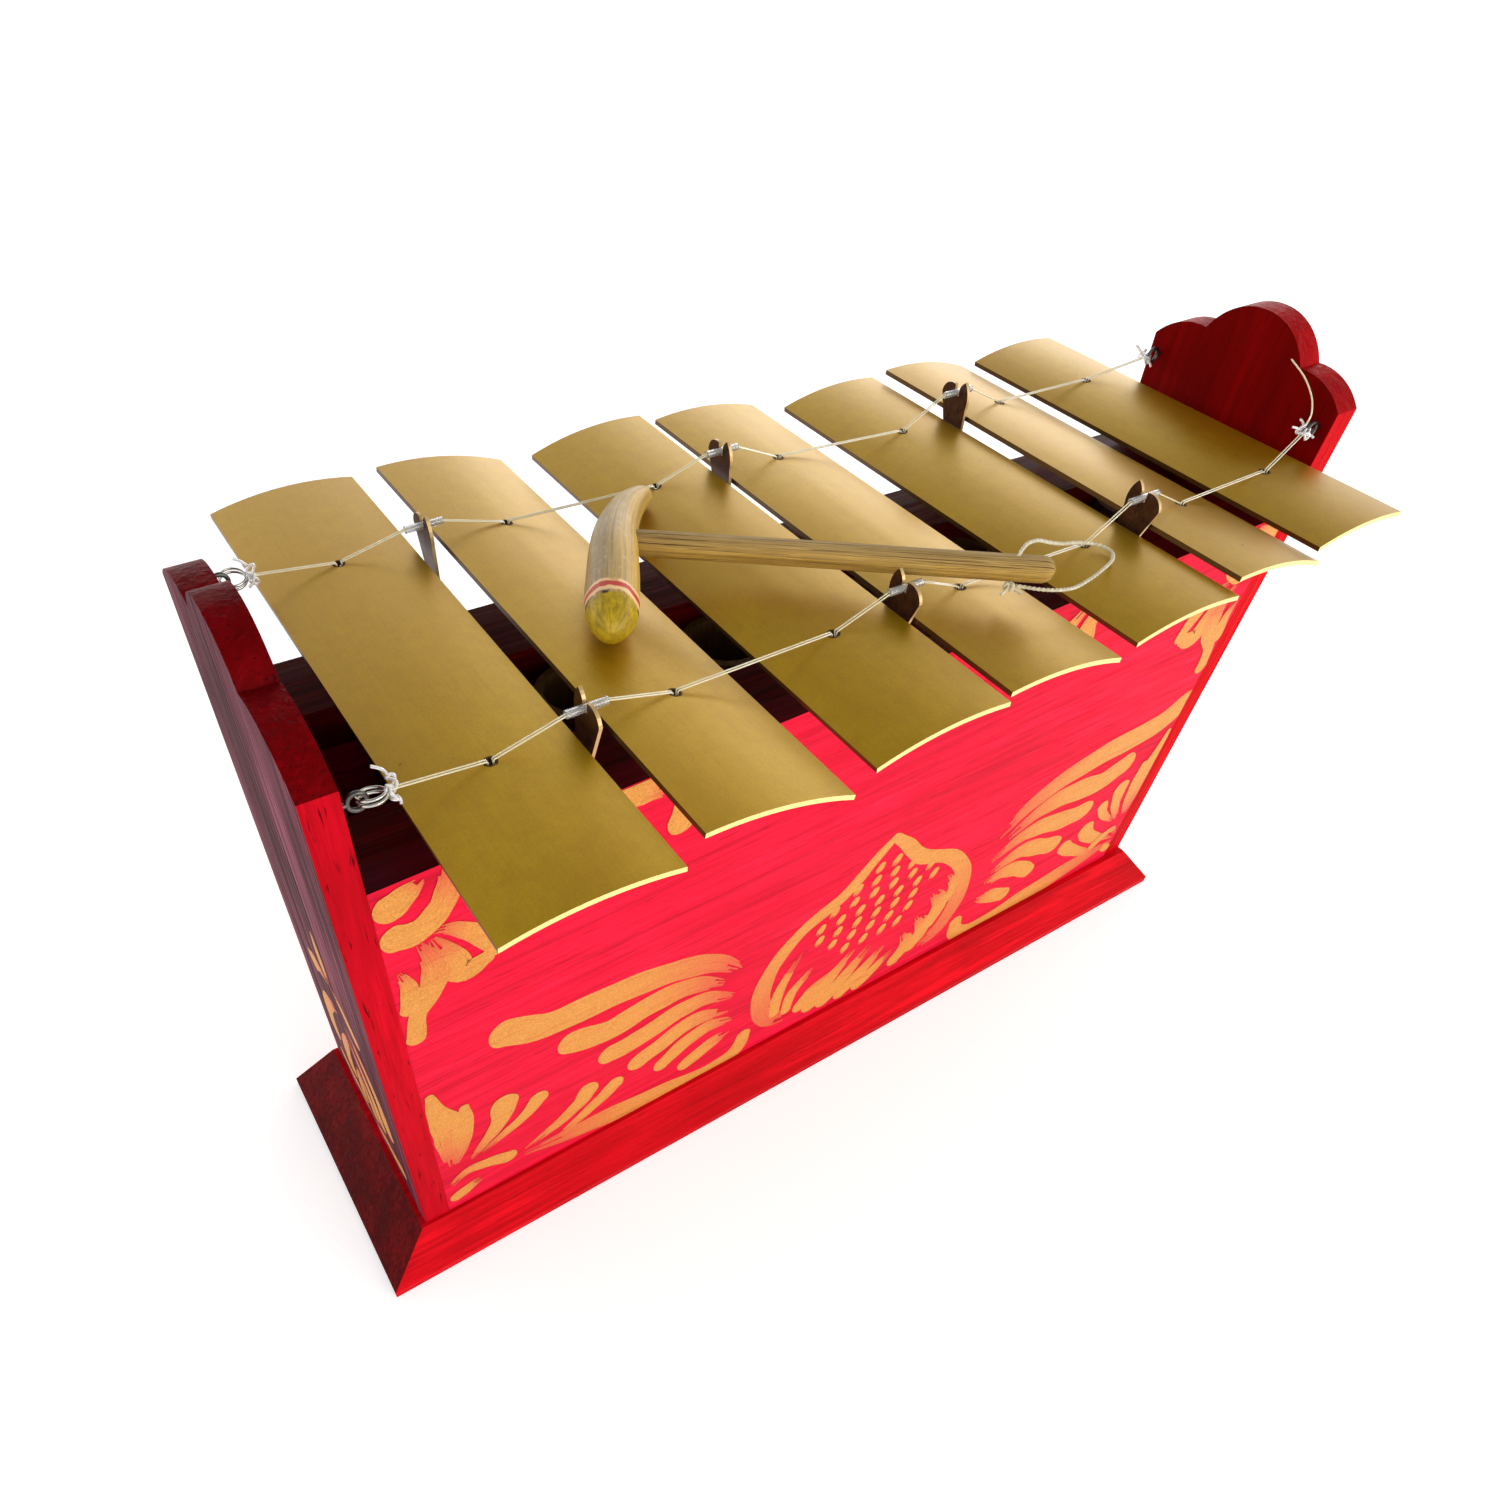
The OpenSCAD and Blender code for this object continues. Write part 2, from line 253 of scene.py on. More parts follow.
def noise(tree, scale, detail, rough, distort=0.0, offset=(0, 0, 0), source="Object"):
    """Noise whose grains are 1 / scale of the source's unit along each axis."""
    vector = place(tree, scale, offset, source)
    return put(tree, "TexNoise", {"Vector": vector, "Scale": 1.0, "Detail": detail,
                                  "Roughness": rough, "Distortion": distort}).outputs["Fac"]


def spread(tree, value, low, high, to_low=0.0, to_high=1.0):
    """Maps low..high of a value to to_low..to_high, and holds it there outside."""
    return put(tree, "MapRange", {"Value": value, "From Min": low, "From Max": high,
                                  "To Min": to_low, "To Max": to_high}).outputs[0]


def mix(tree, factor, a, b):
    made = put(tree, "Mix", {0: factor}, data_type="RGBA")
    for key, value in ((6, a), (7, b)):
        if isinstance(value, bpy.types.NodeSocket):
            tree.links.new(value, made.inputs[key])
        else:
            made.inputs[key].default_value = (*value, 1)
    return made.outputs[2]


def calc(tree, operation, a, b=0.0):
    return put(tree, "Math", {0: a, 1: b}, operation=operation).outputs[0]


def times(tree, a, b):
    return calc(tree, "MULTIPLY", a, b)


def bump(tree, height, strength, distance, normal=None):
    inputs = {"Height": height, "Strength": strength, "Distance": distance}
    if normal:
        inputs["Normal"] = normal
    return put(tree, "Bump", inputs).outputs[0]


def finish_shader(tree, **inputs):
    """The Principled shader and the output. Names use _ for a space."""
    shader = put(tree, "BsdfPrincipled",
                 {key.replace("_", " "): value for key, value in inputs.items()})
    out = tree.nodes.new("ShaderNodeOutputMaterial")
    tree.links.new(shader.outputs[0], out.inputs[0])


def facing(tree, axis):
    """How far the surface faces along an axis of the part, from -1 to 1."""
    normal = put(tree, "TexCoord").outputs["Normal"]
    return put(tree, "SeparateXYZ", {0: normal}).outputs[axis]


# ---- Materials ----


def stained_wood(name, grain, light, dark, top=None, left=None, right=None, gloss=0.5,
                 shine=0.06, side_from=0.7, streaks=1.0, furrow=0.35, pitted=0.8, seed=0.0):
    """Wood under a red stain. grain is the axis it runs along. Faces that look up take the
    pair of colours in top, and faces that look left or right along the row take theirs.
    These pairs are painted light: darker copies of the stain as painted shade, and greyed
    copies as painted sheen, for faces that the lamps light less or that catch a reflection."""
    mat, tree = new_material(name)
    along = {"X": (1, 0, 0), "Y": (0, 1, 0), "Z": (0, 0, 1)}[grain]

    def stretch(fine, long):
        return [long if a else fine for a in along]
    broad = noise(tree, stretch(46, 2.4), 5, 0.6, 0.4, (seed, seed, seed))
    ridge = noise(tree, stretch(190, 5), 4, 0.6, 0.5, (0, seed, seed))
    fibre = noise(tree, stretch(420, 9), 6, 0.65, 0.2, (seed, 0, seed))
    pores = noise(tree, stretch(640, 60), 2, 0.5, offset=(0, seed, 0))
    blotch = noise(tree, (11, 11, 11), 3, 0.5, 0.8, (seed, 0, 0))
    age = calc(tree, "ADD", times(tree, broad, 0.7), times(tree, blotch, 0.3))
    age = spread(tree, age, 0.40, 0.60)
    streak = times(tree, spread(tree, fibre, 0.42, 0.62), 0.75)

    def stain(pale, deep, groove=0.3):
        colour = mix(tree, age, pale, deep)
        colour = mix(tree, streak, colour, deep)
        return mix(tree, spread(tree, ridge, 0.50, 0.64, 0.0, groove), colour,
                   [c * 0.45 for c in deep])
    colour = stain(light, dark)
    smooth = 0.0
    # Upward faces take the top pair: painted shade, a darker copy of the stain.
    if top:
        smooth = spread(tree, facing(tree, 2), 0.06, 0.16)
        colour = mix(tree, smooth, colour, stain(*top, 0.1))
    # Faces turned left or right along the row take their pair: painted shade, and on an end board's outer
    # face a painted sheen.
    for way, pair, groove in ((LEFT, left, streaks), (RIGHT, right, 0.3)):
        if pair:
            turned = times(tree, facing(tree, 0), way)
            colour = mix(tree, spread(tree, turned, side_from, side_from + 0.15), colour,
                         stain(*pair, groove))
    pit = times(tree, spread(tree, pores, 0.645, 0.71), pitted)
    colour = mix(tree, pit, colour, (0.02, 0.001, 0.002))
    rough = spread(tree, fibre, 0.3, 0.7, gloss - 0.08, gloss + 0.14)
    if top:
        rough = calc(tree, "SUBTRACT", rough, times(tree, smooth, 0.14))
    height = calc(tree, "SUBTRACT", times(tree, fibre, 0.6), pit)
    deep_grain = bump(tree, ridge, furrow, 0.0020)
    normal = bump(tree, height, 0.35, 0.0004, deep_grain)
    finish_shader(tree, Base_Color=colour, Roughness=rough, Normal=normal,
                  Specular_IOR_Level=shine)
    return mat


def gold_paint():
    """Brushed gold paint over the grain, thin enough at a stroke's far end, and along its
    bristle marks, for the red to show through."""
    mat, tree = new_material("gold_paint")
    bristle = noise(tree, (34, 210, 1), 5, 0.7, source="UV")
    drag = noise(tree, (90, 620, 1), 3, 0.6, source="UV")
    speck = noise(tree, (1100, 1100, 1100), 3, 0.7)
    wood = noise(tree, (14, 420, 420), 4, 0.6)
    tail = put(tree, "SeparateXYZ", {0: put(tree, "UVMap", uv_map="Tail").outputs[0]}).outputs[0]
    colour = mix(tree, spread(tree, bristle, 0.34, 0.66), (0.76, 0.36, 0.070), (0.64, 0.22, 0.026))
    colour = mix(tree, spread(tree, drag, 0.50, 0.70, 0.0, 0.6), colour, (0.55, 0.17, 0.020))
    colour = mix(tree, spread(tree, wood, 0.52, 0.68, 0.0, 0.45), colour, (0.60, 0.14, 0.025))
    colour = mix(tree, spread(tree, speck, 0.52, 0.66, 0.0, 0.55), colour, (0.40, 0.16, 0.020))
    colour = mix(tree, spread(tree, speck, 0.30, 0.46, 0.5, 0.0), colour, (0.90, 0.52, 0.16))
    bare = spread(tree, calc(tree, "ADD", bristle, times(tree, tail, 0.42)), 0.72, 0.95)
    colour = mix(tree, bare, colour, (0.66, 0.03, 0.03))
    normal = bump(tree, calc(tree, "ADD", calc(tree, "ADD", bristle, drag), wood), 0.5, 0.0003)
    finish_shader(tree, Base_Color=colour, Roughness=spread(tree, bristle, 0.3, 0.7, 0.38, 0.6),
                  Metallic=0.2, Normal=normal, Specular_IOR_Level=0.25)
    return mat


def key_brass():
    """Bronze-gold lacquer over brass: cloudy, faintly filed, with a few pits, and brown
    on the long edges. The cut ends are bare bright metal."""
    mat, tree = new_material("lacquered_brass")
    cloud = noise(tree, (9, 6, 9), 4, 0.55, 0.8)
    mottle = noise(tree, (130, 130, 130), 4, 0.65)
    filing = noise(tree, (900, 22, 900), 3, 0.6)
    grit = noise(tree, (1500, 1500, 1500), 3, 0.7)
    cells = put(tree, "TexVoronoi", {"Vector": place(tree, (70, 70, 40)), "Scale": 1.0,
                                     "Randomness": 1.0})
    chosen = put(tree, "SeparateXYZ", {0: cells.outputs["Color"]}).outputs[0]
    chosen = spread(tree, chosen, 0.90, 0.91)
    dot = times(tree, spread(tree, cells.outputs["Distance"], 0.025, 0.05, 1.0, 0.0), chosen)
    colour = mix(tree, spread(tree, cloud, 0.3, 0.7), (0.46, 0.250, 0.0005), (0.56, 0.340, 0.003))
    colour = mix(tree, spread(tree, mottle, 0.4, 0.75, 0.0, 0.30), colour, (0.38, 0.18, 0.001))
    colour = mix(tree, spread(tree, filing, 0.45, 0.75, 0.0, 0.18), colour, (0.34, 0.17, 0.004))
    colour = mix(tree, times(tree, dot, 0.8), colour, (0.05, 0.03, 0.01))
    edge = spread(tree, calc(tree, "ABSOLUTE", facing(tree, 2)), 0.4, 0.7, 1.0, 0.0)
    colour = mix(tree, edge, colour, (0.10, 0.045, 0.006))
    from_middle = put(tree, "SeparateXYZ", {0: place(tree)}).outputs[1]
    at_end = spread(tree, calc(tree, "ABSOLUTE", from_middle), 0.090, 0.095)
    cut = spread(tree, calc(tree, "ABSOLUTE", facing(tree, 1)), 0.5, 0.75)
    colour = mix(tree, times(tree, cut, at_end), colour, (0.98, 0.80, 0.30))
    colour = mix(tree, spread(tree, grit, 0.50, 0.72, 0.0, 0.45), colour, (0.26, 0.12, 0.001))
    rough = spread(tree, cloud, 0.3, 0.7, 0.38, 0.48)
    height = calc(tree, "ADD", times(tree, filing, 0.25), times(tree, grit, 0.6))
    height = calc(tree, "SUBTRACT", height, dot)
    normal = bump(tree, height, 0.22, 0.00012, bump(tree, cloud, 0.05, 0.002))
    finish_shader(tree, Base_Color=colour, Metallic=0.75, Roughness=rough, Normal=normal,
                  Specular_IOR_Level=0.1, Coat_Weight=0.5, Coat_Roughness=0.34, Coat_IOR=1.42)
    return mat


def worn_rim():
    """Brown wear round a key's cord hole."""
    mat, tree = new_material("brown_wear")
    cloud = noise(tree, (700, 700, 700), 4, 0.65)
    colour = mix(tree, spread(tree, cloud, 0.35, 0.65), (0.030, 0.010, 0.002), (0.14, 0.060, 0.006))
    finish_shader(tree, Base_Color=colour, Normal=bump(tree, cloud, 0.4, 0.0002),
                  Roughness=spread(tree, cloud, 0.3, 0.7, 0.5, 0.7), Specular_IOR_Level=0.2)
    return mat


def post_brass():
    """Brown, tarnished plate with bright sheared edges."""
    mat, tree = new_material("tarnished_brass")
    cloud = noise(tree, (260, 260, 260), 4, 0.6)
    scratch = noise(tree, (200, 1800, 300), 3, 0.6)
    colour = mix(tree, spread(tree, cloud, 0.35, 0.7), (0.030, 0.008, 0.004), (0.085, 0.026, 0.008))
    colour = mix(tree, spread(tree, scratch, 0.5, 0.75, 0.0, 0.3), colour, (0.20, 0.10, 0.03))
    edge = spread(tree, calc(tree, "ABSOLUTE", facing(tree, 0)), 0.5, 0.85, 1.0, 0.0)
    colour = mix(tree, edge, colour, (0.62, 0.42, 0.18))
    normal = bump(tree, calc(tree, "ADD", cloud, scratch), 0.3, 0.0001)
    finish_shader(tree, Base_Color=colour, Metallic=0.55, Normal=normal,
                  Roughness=spread(tree, cloud, 0.3, 0.7, 0.34, 0.5))
    return mat


def bamboo():
    mat, tree = new_material("bamboo_tube")
    fibre = noise(tree, (500, 500, 8), 5, 0.6)
    tone = noise(tree, (18, 18, 5), 3, 0.5)
    colour = mix(tree, spread(tree, tone, 0.3, 0.7), (0.060, 0.030, 0.010), (0.105, 0.060, 0.022))
    colour = mix(tree, spread(tree, fibre, 0.4, 0.75, 0.0, 0.55), colour, (0.03, 0.014, 0.005))
    finish_shader(tree, Base_Color=colour, Normal=bump(tree, fibre, 0.4, 0.0003),
                  Roughness=spread(tree, fibre, 0.3, 0.7, 0.45, 0.65), Specular_IOR_Level=0.15)
    return mat


def nylon(name, tint, clear, rough):
    """Clear monofilament or tube: part of the light passes through."""
    mat, tree = new_material(name)
    flow = noise(tree, (40, 500, 500), 3, 0.6)
    fine = noise(tree, (2500, 2500, 2500), 2, 0.5)
    colour = mix(tree, spread(tree, flow, 0.35, 0.65), [c * 0.9 for c in tint], tint)
    normal = bump(tree, calc(tree, "ADD", flow, fine), 0.06, 0.00004)
    finish_shader(tree, Base_Color=colour, Normal=normal, IOR=1.53,
                  Roughness=spread(tree, flow, 0.3, 0.7, rough, rough + 0.08),
                  Transmission_Weight=clear)
    return mat


def steel(name, colour_low, colour_high, rough):
    mat, tree = new_material(name)
    cloud = noise(tree, (350, 350, 350), 4, 0.6)
    scratch = noise(tree, (1500, 300, 1500), 3, 0.6)
    colour = mix(tree, spread(tree, cloud, 0.3, 0.7), colour_low, colour_high)
    finish_shader(tree, Base_Color=colour, Metallic=1.0,
                  Roughness=spread(tree, scratch, 0.3, 0.7, rough, rough + 0.14),
                  Normal=bump(tree, scratch, 0.15, 0.00005))
    return mat


def handle_wood():
    """Split bamboo: straw with coarse dark fibres, greyer on top than along its side."""
    mat, tree = new_material("split_bamboo")
    fibre = noise(tree, (16, 95, 1), 6, 0.7, 0.15, source="UV")
    fine = noise(tree, (70, 300, 1), 4, 0.65, source="UV")
    crack = noise(tree, (13, 62, 1), 3, 0.55, offset=(3.1, 7.7, 0), source="UV")
    top = spread(tree, facing(tree, 2), -0.1, 0.85)
    colour = mix(tree, top, (0.74, 0.43, 0.06), (0.56, 0.36, 0.12))
    colour = mix(tree, spread(tree, fibre, 0.42, 0.60), colour, (0.30, 0.17, 0.045))
    colour = mix(tree, spread(tree, fine, 0.52, 0.72, 0.0, 0.7), colour, (0.84, 0.64, 0.26))
    split = spread(tree, crack, 0.60, 0.64)
    colour = mix(tree, times(tree, split, 0.9), colour, (0.08, 0.035, 0.008))
    height = calc(tree, "SUBTRACT", calc(tree, "ADD", fibre, times(tree, fine, 0.5)), split)
    finish_shader(tree, Base_Color=colour, Normal=bump(tree, height, 0.8, 0.0008),
                  Roughness=spread(tree, fibre, 0.3, 0.7, 0.48, 0.7), Specular_IOR_Level=0.25)
    return mat


def head_wood():
    """The beater's head: oiled wood, a painted red ring between pale ones, and a worn
    yellow-green striking face. UV x runs along the head in metres."""
    mat, tree = new_material("beater_head_wood")
    run = put(tree, "SeparateXYZ", {0: place(tree, source="UV")}).outputs[0]
    wobble = noise(tree, (210, 210, 210), 3, 0.6)
    run = calc(tree, "ADD", run, times(tree, calc(tree, "SUBTRACT", wobble, 0.5), 0.0030))
    fibre = noise(tree, (14, 46, 1), 6, 0.65, 0.3, source="UV")
    scuff = noise(tree, (260, 34, 1), 4, 0.65, 0.4, (1.7, 0.4, 0), source="UV")
    patch = noise(tree, (95, 95, 95), 4, 0.6, 0.5)
    side = spread(tree, facing(tree, 0), -0.35, 0.55)
    colour = mix(tree, side, (0.40, 0.27, 0.10), (0.70, 0.43, 0.07))
    colour = mix(tree, spread(tree, fibre, 0.40, 0.66, 0.0, 0.75), colour, (0.22, 0.12, 0.03))
    colour = mix(tree, spread(tree, scuff, 0.54, 0.72, 0.0, 0.45), colour, (0.72, 0.57, 0.30))

    def band(at, half):
        off = calc(tree, "ABSOLUTE", calc(tree, "SUBTRACT", run, at))
        return spread(tree, off, half, half + 0.0005, 1.0, 0.0)
    worn_off = spread(tree, patch, 0.62, 0.70, 1.0, 0.15)
    colour = mix(tree, times(tree, band(0.0186, 0.0032), worn_off), colour, (0.88, 0.56, 0.27))
    colour = mix(tree, times(tree, band(0.0188, 0.0012), worn_off), colour, (0.55, 0.045, 0.022))
    face = spread(tree, run, 0.0136, 0.0143, 1.0, 0.0)
    worn = mix(tree, spread(tree, patch, 0.35, 0.65), (0.40, 0.26, 0.005), (0.66, 0.44, 0.010))
    worn = mix(tree, spread(tree, scuff, 0.45, 0.68, 0.0, 0.7), worn, (0.15, 0.09, 0.005))
    colour = mix(tree, face, colour, worn)
    chip = times(tree, band(0.0140, 0.0004), spread(tree, patch, 0.47, 0.55))
    colour = mix(tree, chip, colour, (0.04, 0.02, 0.006))
    height = calc(tree, "ADD", fibre, times(tree, patch, 0.6))
    height = calc(tree, "SUBTRACT", height, chip)
    finish_shader(tree, Base_Color=colour, Normal=bump(tree, height, 0.45, 0.0006),
                  Roughness=spread(tree, patch, 0.3, 0.7, 0.34, 0.52),
                  Specular_IOR_Level=0.3, Coat_Weight=0.1, Coat_Roughness=0.3)
    return mat


def twine():
    mat, tree = new_material("plant_twine")
    fuzz = noise(tree, (5000, 5000, 5000), 3, 0.7)
    tone = noise(tree, (400, 400, 400), 3, 0.5)
    colour = mix(tree, spread(tree, tone, 0.3, 0.7), (0.62, 0.54, 0.34), (0.86, 0.80, 0.60))
    colour = mix(tree, spread(tree, fuzz, 0.55, 0.8, 0.0, 0.6), colour, (0.40, 0.30, 0.14))
    finish_shader(tree, Base_Color=colour, Normal=bump(tree, fuzz, 0.6, 0.0002),
                  Roughness=spread(tree, tone, 0.3, 0.7, 0.75, 0.9), Sheen_Weight=0.3)
    return mat


def floor_paper():
    mat, tree = new_material("floor_paper")
    tooth = noise(tree, (900, 900, 900), 3, 0.6)
    tone = noise(tree, (1.2, 1.2, 1.2), 2, 0.5)
    colour = mix(tree, tone, (0.93, 0.93, 0.93), (0.96, 0.96, 0.96))
    finish_shader(tree, Base_Color=colour, Normal=bump(tree, tooth, 0.1, 0.0001),
                  Roughness=spread(tree, tone, 0.3, 0.7, 0.85, 0.95),
                  Emission_Color=(1, 1, 1, 1), Emission_Strength=FLOOR_GLOW)
    return mat


make_camera()

MAT = {
    # The strands' cream tint is painted reflection: it stands in for the gold of the keys seen through the
    # clear nylon.
    "nylon": nylon("clear_nylon", (1.0, 0.92, 0.62), 0.3, 0.12),
    "knot": nylon("clear_thick_nylon", (0.97, 0.95, 0.93), 0.5, 0.10),
    "tube": nylon("clear_sleeve", (0.95, 0.96, 0.98), 0.85, 0.06),
    "brass": key_brass(),
    "wear": worn_rim(),
    "post": post_brass(),
    "bamboo": bamboo(),
    "ring": steel("bright_nickel", (0.40, 0.38, 0.34), (0.62, 0.60, 0.54), 0.08),
    "eye": steel("dull_steel", (0.07, 0.062, 0.055), (0.15, 0.14, 0.13), 0.3),
    "screw": steel("zinc_steel", (0.45, 0.45, 0.46), (0.66, 0.66, 0.68), 0.28),
    "handle": handle_wood(),
    "head": head_wood(),
    "twine": twine(),
    "gold": gold_paint(),
    # The walls' top pair is painted shade: a near-black copy of the stain for the tops under the keys.
    "wall": stained_wood("stain_long_walls", "X", (0.84, 0.010, 0.046), (0.60, 0.005, 0.026),
                         top=((0.10, 0.003, 0.010), (0.045, 0.001, 0.004)), furrow=0.12,
                         shine=0.04, pitted=0.25, seed=3.0),
    # Left board: its top and its right (inner) face take painted shade; its left (outer) face takes a
    # purple-grey copy, painted sheen.
    "left_board": stained_wood("stain_left_board", "Z", (0.62, 0.003, 0.014),
                               (0.42, 0.002, 0.008), top=((0.21, 0.001, 0.003), (0.11, 0.001, 0.002)),
                               left=((0.30, 0.065, 0.105), (0.055, 0.001, 0.006)),
                               right=((0.20, 0.001, 0.002), (0.10, 0.001, 0.001)),
                               gloss=0.46, shine=0.015, furrow=0.8, seed=11.0),
    # Right board: its top and its left (inner) face take painted shade; its right (outer) face takes a dark
    # greyed copy, painted sheen.
    "right_board": stained_wood("stain_right_board", "Z", (0.66, 0.002, 0.006),
                                (0.48, 0.001, 0.004), top=((0.48, 0.002, 0.004), (0.30, 0.001, 0.002)),
                                left=((0.24, 0.001, 0.001), (0.14, 0.0005, 0.0005)),
                                right=((0.26, 0.020, 0.034), (0.085, 0.003, 0.009)),
                                gloss=0.50, shine=0.02, streaks=0.15, pitted=0.3, seed=17.0),
    # The base's left pair is painted shade: a near-black copy of the stain for the faces turned left.
    "base": stained_wood("stain_base", "X", (0.76, 0.003, 0.012), (0.42, 0.001, 0.004),
                         left=((0.17, 0.0005, 0.001), (0.07, 0.0005, 0.001)),
                         gloss=0.46, shine=0.035, side_from=0.2, streaks=0.3,
                         pitted=0.3, seed=7.0),
    # The rails' stain is painted near black: painted shade under the keys.
    "rail": stained_wood("stain_rails_painted_shade", "X", (0.105, 0.001, 0.002), (0.030, 0.0005, 0.0008),
                         shine=0.03, furrow=0.2, seed=5.0),
}

# ---- Suspension cords ----


def dive(i, y):
    """A strand's way down through a key's hole, under its peg and up again."""
    x, z = hole_x(i), crown(i)
    d = PEG_R + STRAND_R + 0.15
    px = x + (KEY_T + PEG_R) * math.sin(math.radians(KEY_ROLL[i]))
    pz = z - KEY_T - PEG_R
    left = [(x - HOLE_OFF, y, z + HOLE_UP), (px - d, y, pz), (px - 0.8, y, pz - d)]
    right = [(px + 0.8, y, pz - d), (px + d, y, pz), (x + HOLE_OFF, y, z + HOLE_UP)]
    return left, right


def held_at(i):
    """The frame's own points on the cord line at either side of key i: a knot, a sleeve's
    end, or the middle of the gap to a key with no post between."""
    def post(j, end):
        return (POST_X[j] + end * SLEEVE_L / 2, SADDLE_Z)

    def gap(a, b):
        xa, xb = hole_x(a) + HOLE_OFF, hole_x(b) - HOLE_OFF
        return ((xa + xb) / 2, (crown(a) + crown(b)) / 2 + HOLE_UP)
    return [((KNOT_X[LEFT], ANCHOR_Z), post(0, LEFT)), (post(0, RIGHT), gap(1, 2)),
            (gap(1, 2), post(1, LEFT)), (post(1, RIGHT), gap(3, 4)), (gap(3, 4), post(2, LEFT)),
            (post(2, RIGHT), gap(5, 6)), (gap(5, 6), (KNOT_X[RIGHT], ANCHOR_Z))][i]


def strand(path):
    return sweep(path, lambda i: circle(STRAND_DRAWN, 12), ends=False)


def make_key_cord(side, i, end):
    """Both strands between the frame and key i, on its left or right."""
    last = end == RIGHT
    x0, z0 = held_at(i)[last]
    y0 = knot_y(RIGHT) if x0 == KNOT_X[RIGHT] else line_y(x0)
    tubes = []
    for off in (-STRAND_GAP, STRAND_GAP):
        loop = dive(i, side * line_y(KEY_X[i]) + off)[last]
        held = (x0, side * y0 + off, z0)
        tubes.append(strand(refine(loop + [held] if last else [held] + loop)))
    piece = add_piece(f"{SIDES[side]}_cord_key_{i + 1}_{ENDS[end]}", join(tubes)[:2],
                      MAT["nylon"])
    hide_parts(SIDES[side] + "_cord")
    x1 = hole_x(i) + end * HOLE_OFF
    metres((x0, side * y0, z0))
    metres((x1, side * line_y(hole_x(i)), crown(i) + HOLE_UP))
    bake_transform(piece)


def make_sleeved_cord(side, j):
    """Both strands inside the sleeve on post j."""
    tubes = []
    for off in (-STRAND_GAP, STRAND_GAP):
        xs = [POST_X[j] + end * SLEEVE_L / 2 for end in (LEFT, 0, RIGHT)]
        tubes.append(strand([(x, side * line_y(x) + off, SADDLE_Z) for x in xs]))
    piece = add_piece(f"{SIDES[side]}_cord_in_sleeve_{j + 1}", join(tubes)[:2],
                      MAT["nylon"], "frame")
    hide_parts(SIDES[side] + "_cord")


def make_cords():
    """Both cords, front and back. The CAD's one node for each becomes these pieces."""
    for side in SIDES:
        for i in KEYS:
            for end in ENDS:
                make_key_cord(side, i, end)
        for j in range(len(POST_X)):
            make_sleeved_cord(side, j)


def step_to(q, p):
    """The point 0.3 mm from q towards p, or three tenths of the way there if that is less."""
    return q.lerp(p, min(0.3, 0.3 / (q - p).length))


def refine(path):
    """Adds a point every 6 mm or so on a route's long runs, then cuts its corners off."""
    out = [Vector(path[0])]
    for a, b in zip(path, path[1:]):
        a, b = Vector(a), Vector(b)
        n = max(1, int((b - a).length / 6))
        out += [a.lerp(b, k / n) for k in range(1, n + 1)]
    smooth = [out[0]]
    for p, q, r in zip(out, out[1:], out[2:]):
        smooth += [step_to(q, p), step_to(q, r)]
    return smooth + [out[-1]]


# ---- Free cords: the beater's wrist loop and the cord's spare end ----

LOOP = [(25.2, -88.1, 354.6), (25.2, -88.1, 362), (25.6, -88, 366.5), (32, -85, 368.2),
        (46, -79, 363.5), (60, -74, 356.5), (74, -70.5, 350.3), (87, -69.5, 346.8), (96, -72.5, 345),
        (99, -79, 344.3), (94, -85.5, 344.7), (82, -91, 346.2), (66, -97, 348.6), (50, -101, 351),
        (37, -98, 352.6), (27.4, -89.6, 353)]
TAIL = [(262, -53, 356.3), (264, -52, 361), (266, -47, 367), (267.5, -38, 373),
        (267.5, -27, 378)]


def make_loop():
    """Twine of two plies, laid round each other once every 4 mm."""
    path = catmull(LOOP, 14)
    run = runs(path)

    def section(i):
        spin = 2 * math.pi * run[i] / 4
        out = []
        for k in range(14):
            w = 2 * math.pi * k / 14
            r = 0.8 + 0.14 * math.cos(2 * w)
            out.append((r * math.cos(w + spin), r * math.sin(w + spin)))
        return out
    loop = add_piece("wrist_loop", sweep(path, section), MAT["twine"], "beater")
    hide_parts("beater_loop")
    metres(LOOP[0])
    [metres(p) for p in path]


def make_tail():
    """The front cord's spare length, which stands up past its right knot."""
    path = catmull(TAIL, 10)
    tail = add_piece("spare_cord_end", sweep(path, lambda i: circle(STRAND_R, 14)), MAT["nylon"],
                     "frame")
    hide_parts("cord_tail")
    metres(TAIL[0])
    runs(path)[-1] * MM
    [metres(p) for p in path]


def make_worn_rims():
    """A ragged brown ring on each key round each of its two cord holes."""
    steps = 30
    for i in KEYS:
        rng = random.Random(300 + i)
        tilt = math.radians(KEY_ROLL[i])
        verts, faces = [], []
        for side in (FRONT, BACK):
            first = len(verts)
            for k in range(steps):
                w = 2 * math.pi * k / steps
                for r in (HOLE_R, HOLE_R + 0.35, HOLE_R + 0.75 + rng.uniform(-0.2, 0.25)):
                    a, b = r * math.cos(w), r * math.sin(w)
                    up = 0.06 - a * a / 300  # just clear of the arched top
                    verts.append((hole_x(i) + a * math.cos(tilt) - up * math.sin(tilt),
                                  side * line_y(KEY_X[i]) + b,
                                  crown(i) + a * math.sin(tilt) + up * math.cos(tilt)))
            for k in range(steps):
                n = (k + 1) % steps
                faces += [[first + 3 * k + j, first + 3 * k + j + 1, first + 3 * n + j + 1,
                           first + 3 * n + j] for j in (0, 1)]
        add_piece(f"key_{i + 1}_worn_rims", (verts, faces), MAT["wear"], f"key_{i + 1}")


make_cords()
make_worn_rims()
make_loop()
make_tail()

# ---- Knots and rings ----

KNOT_R = 0.62
KNOT_SHIFT = {LEFT: 1.6, RIGHT: 0}  # of a knot's middle from its place on the cord line
REACH = {LEFT: 2.3, RIGHT: 4.2}  # from a knot to the far side of its ring or screw eye
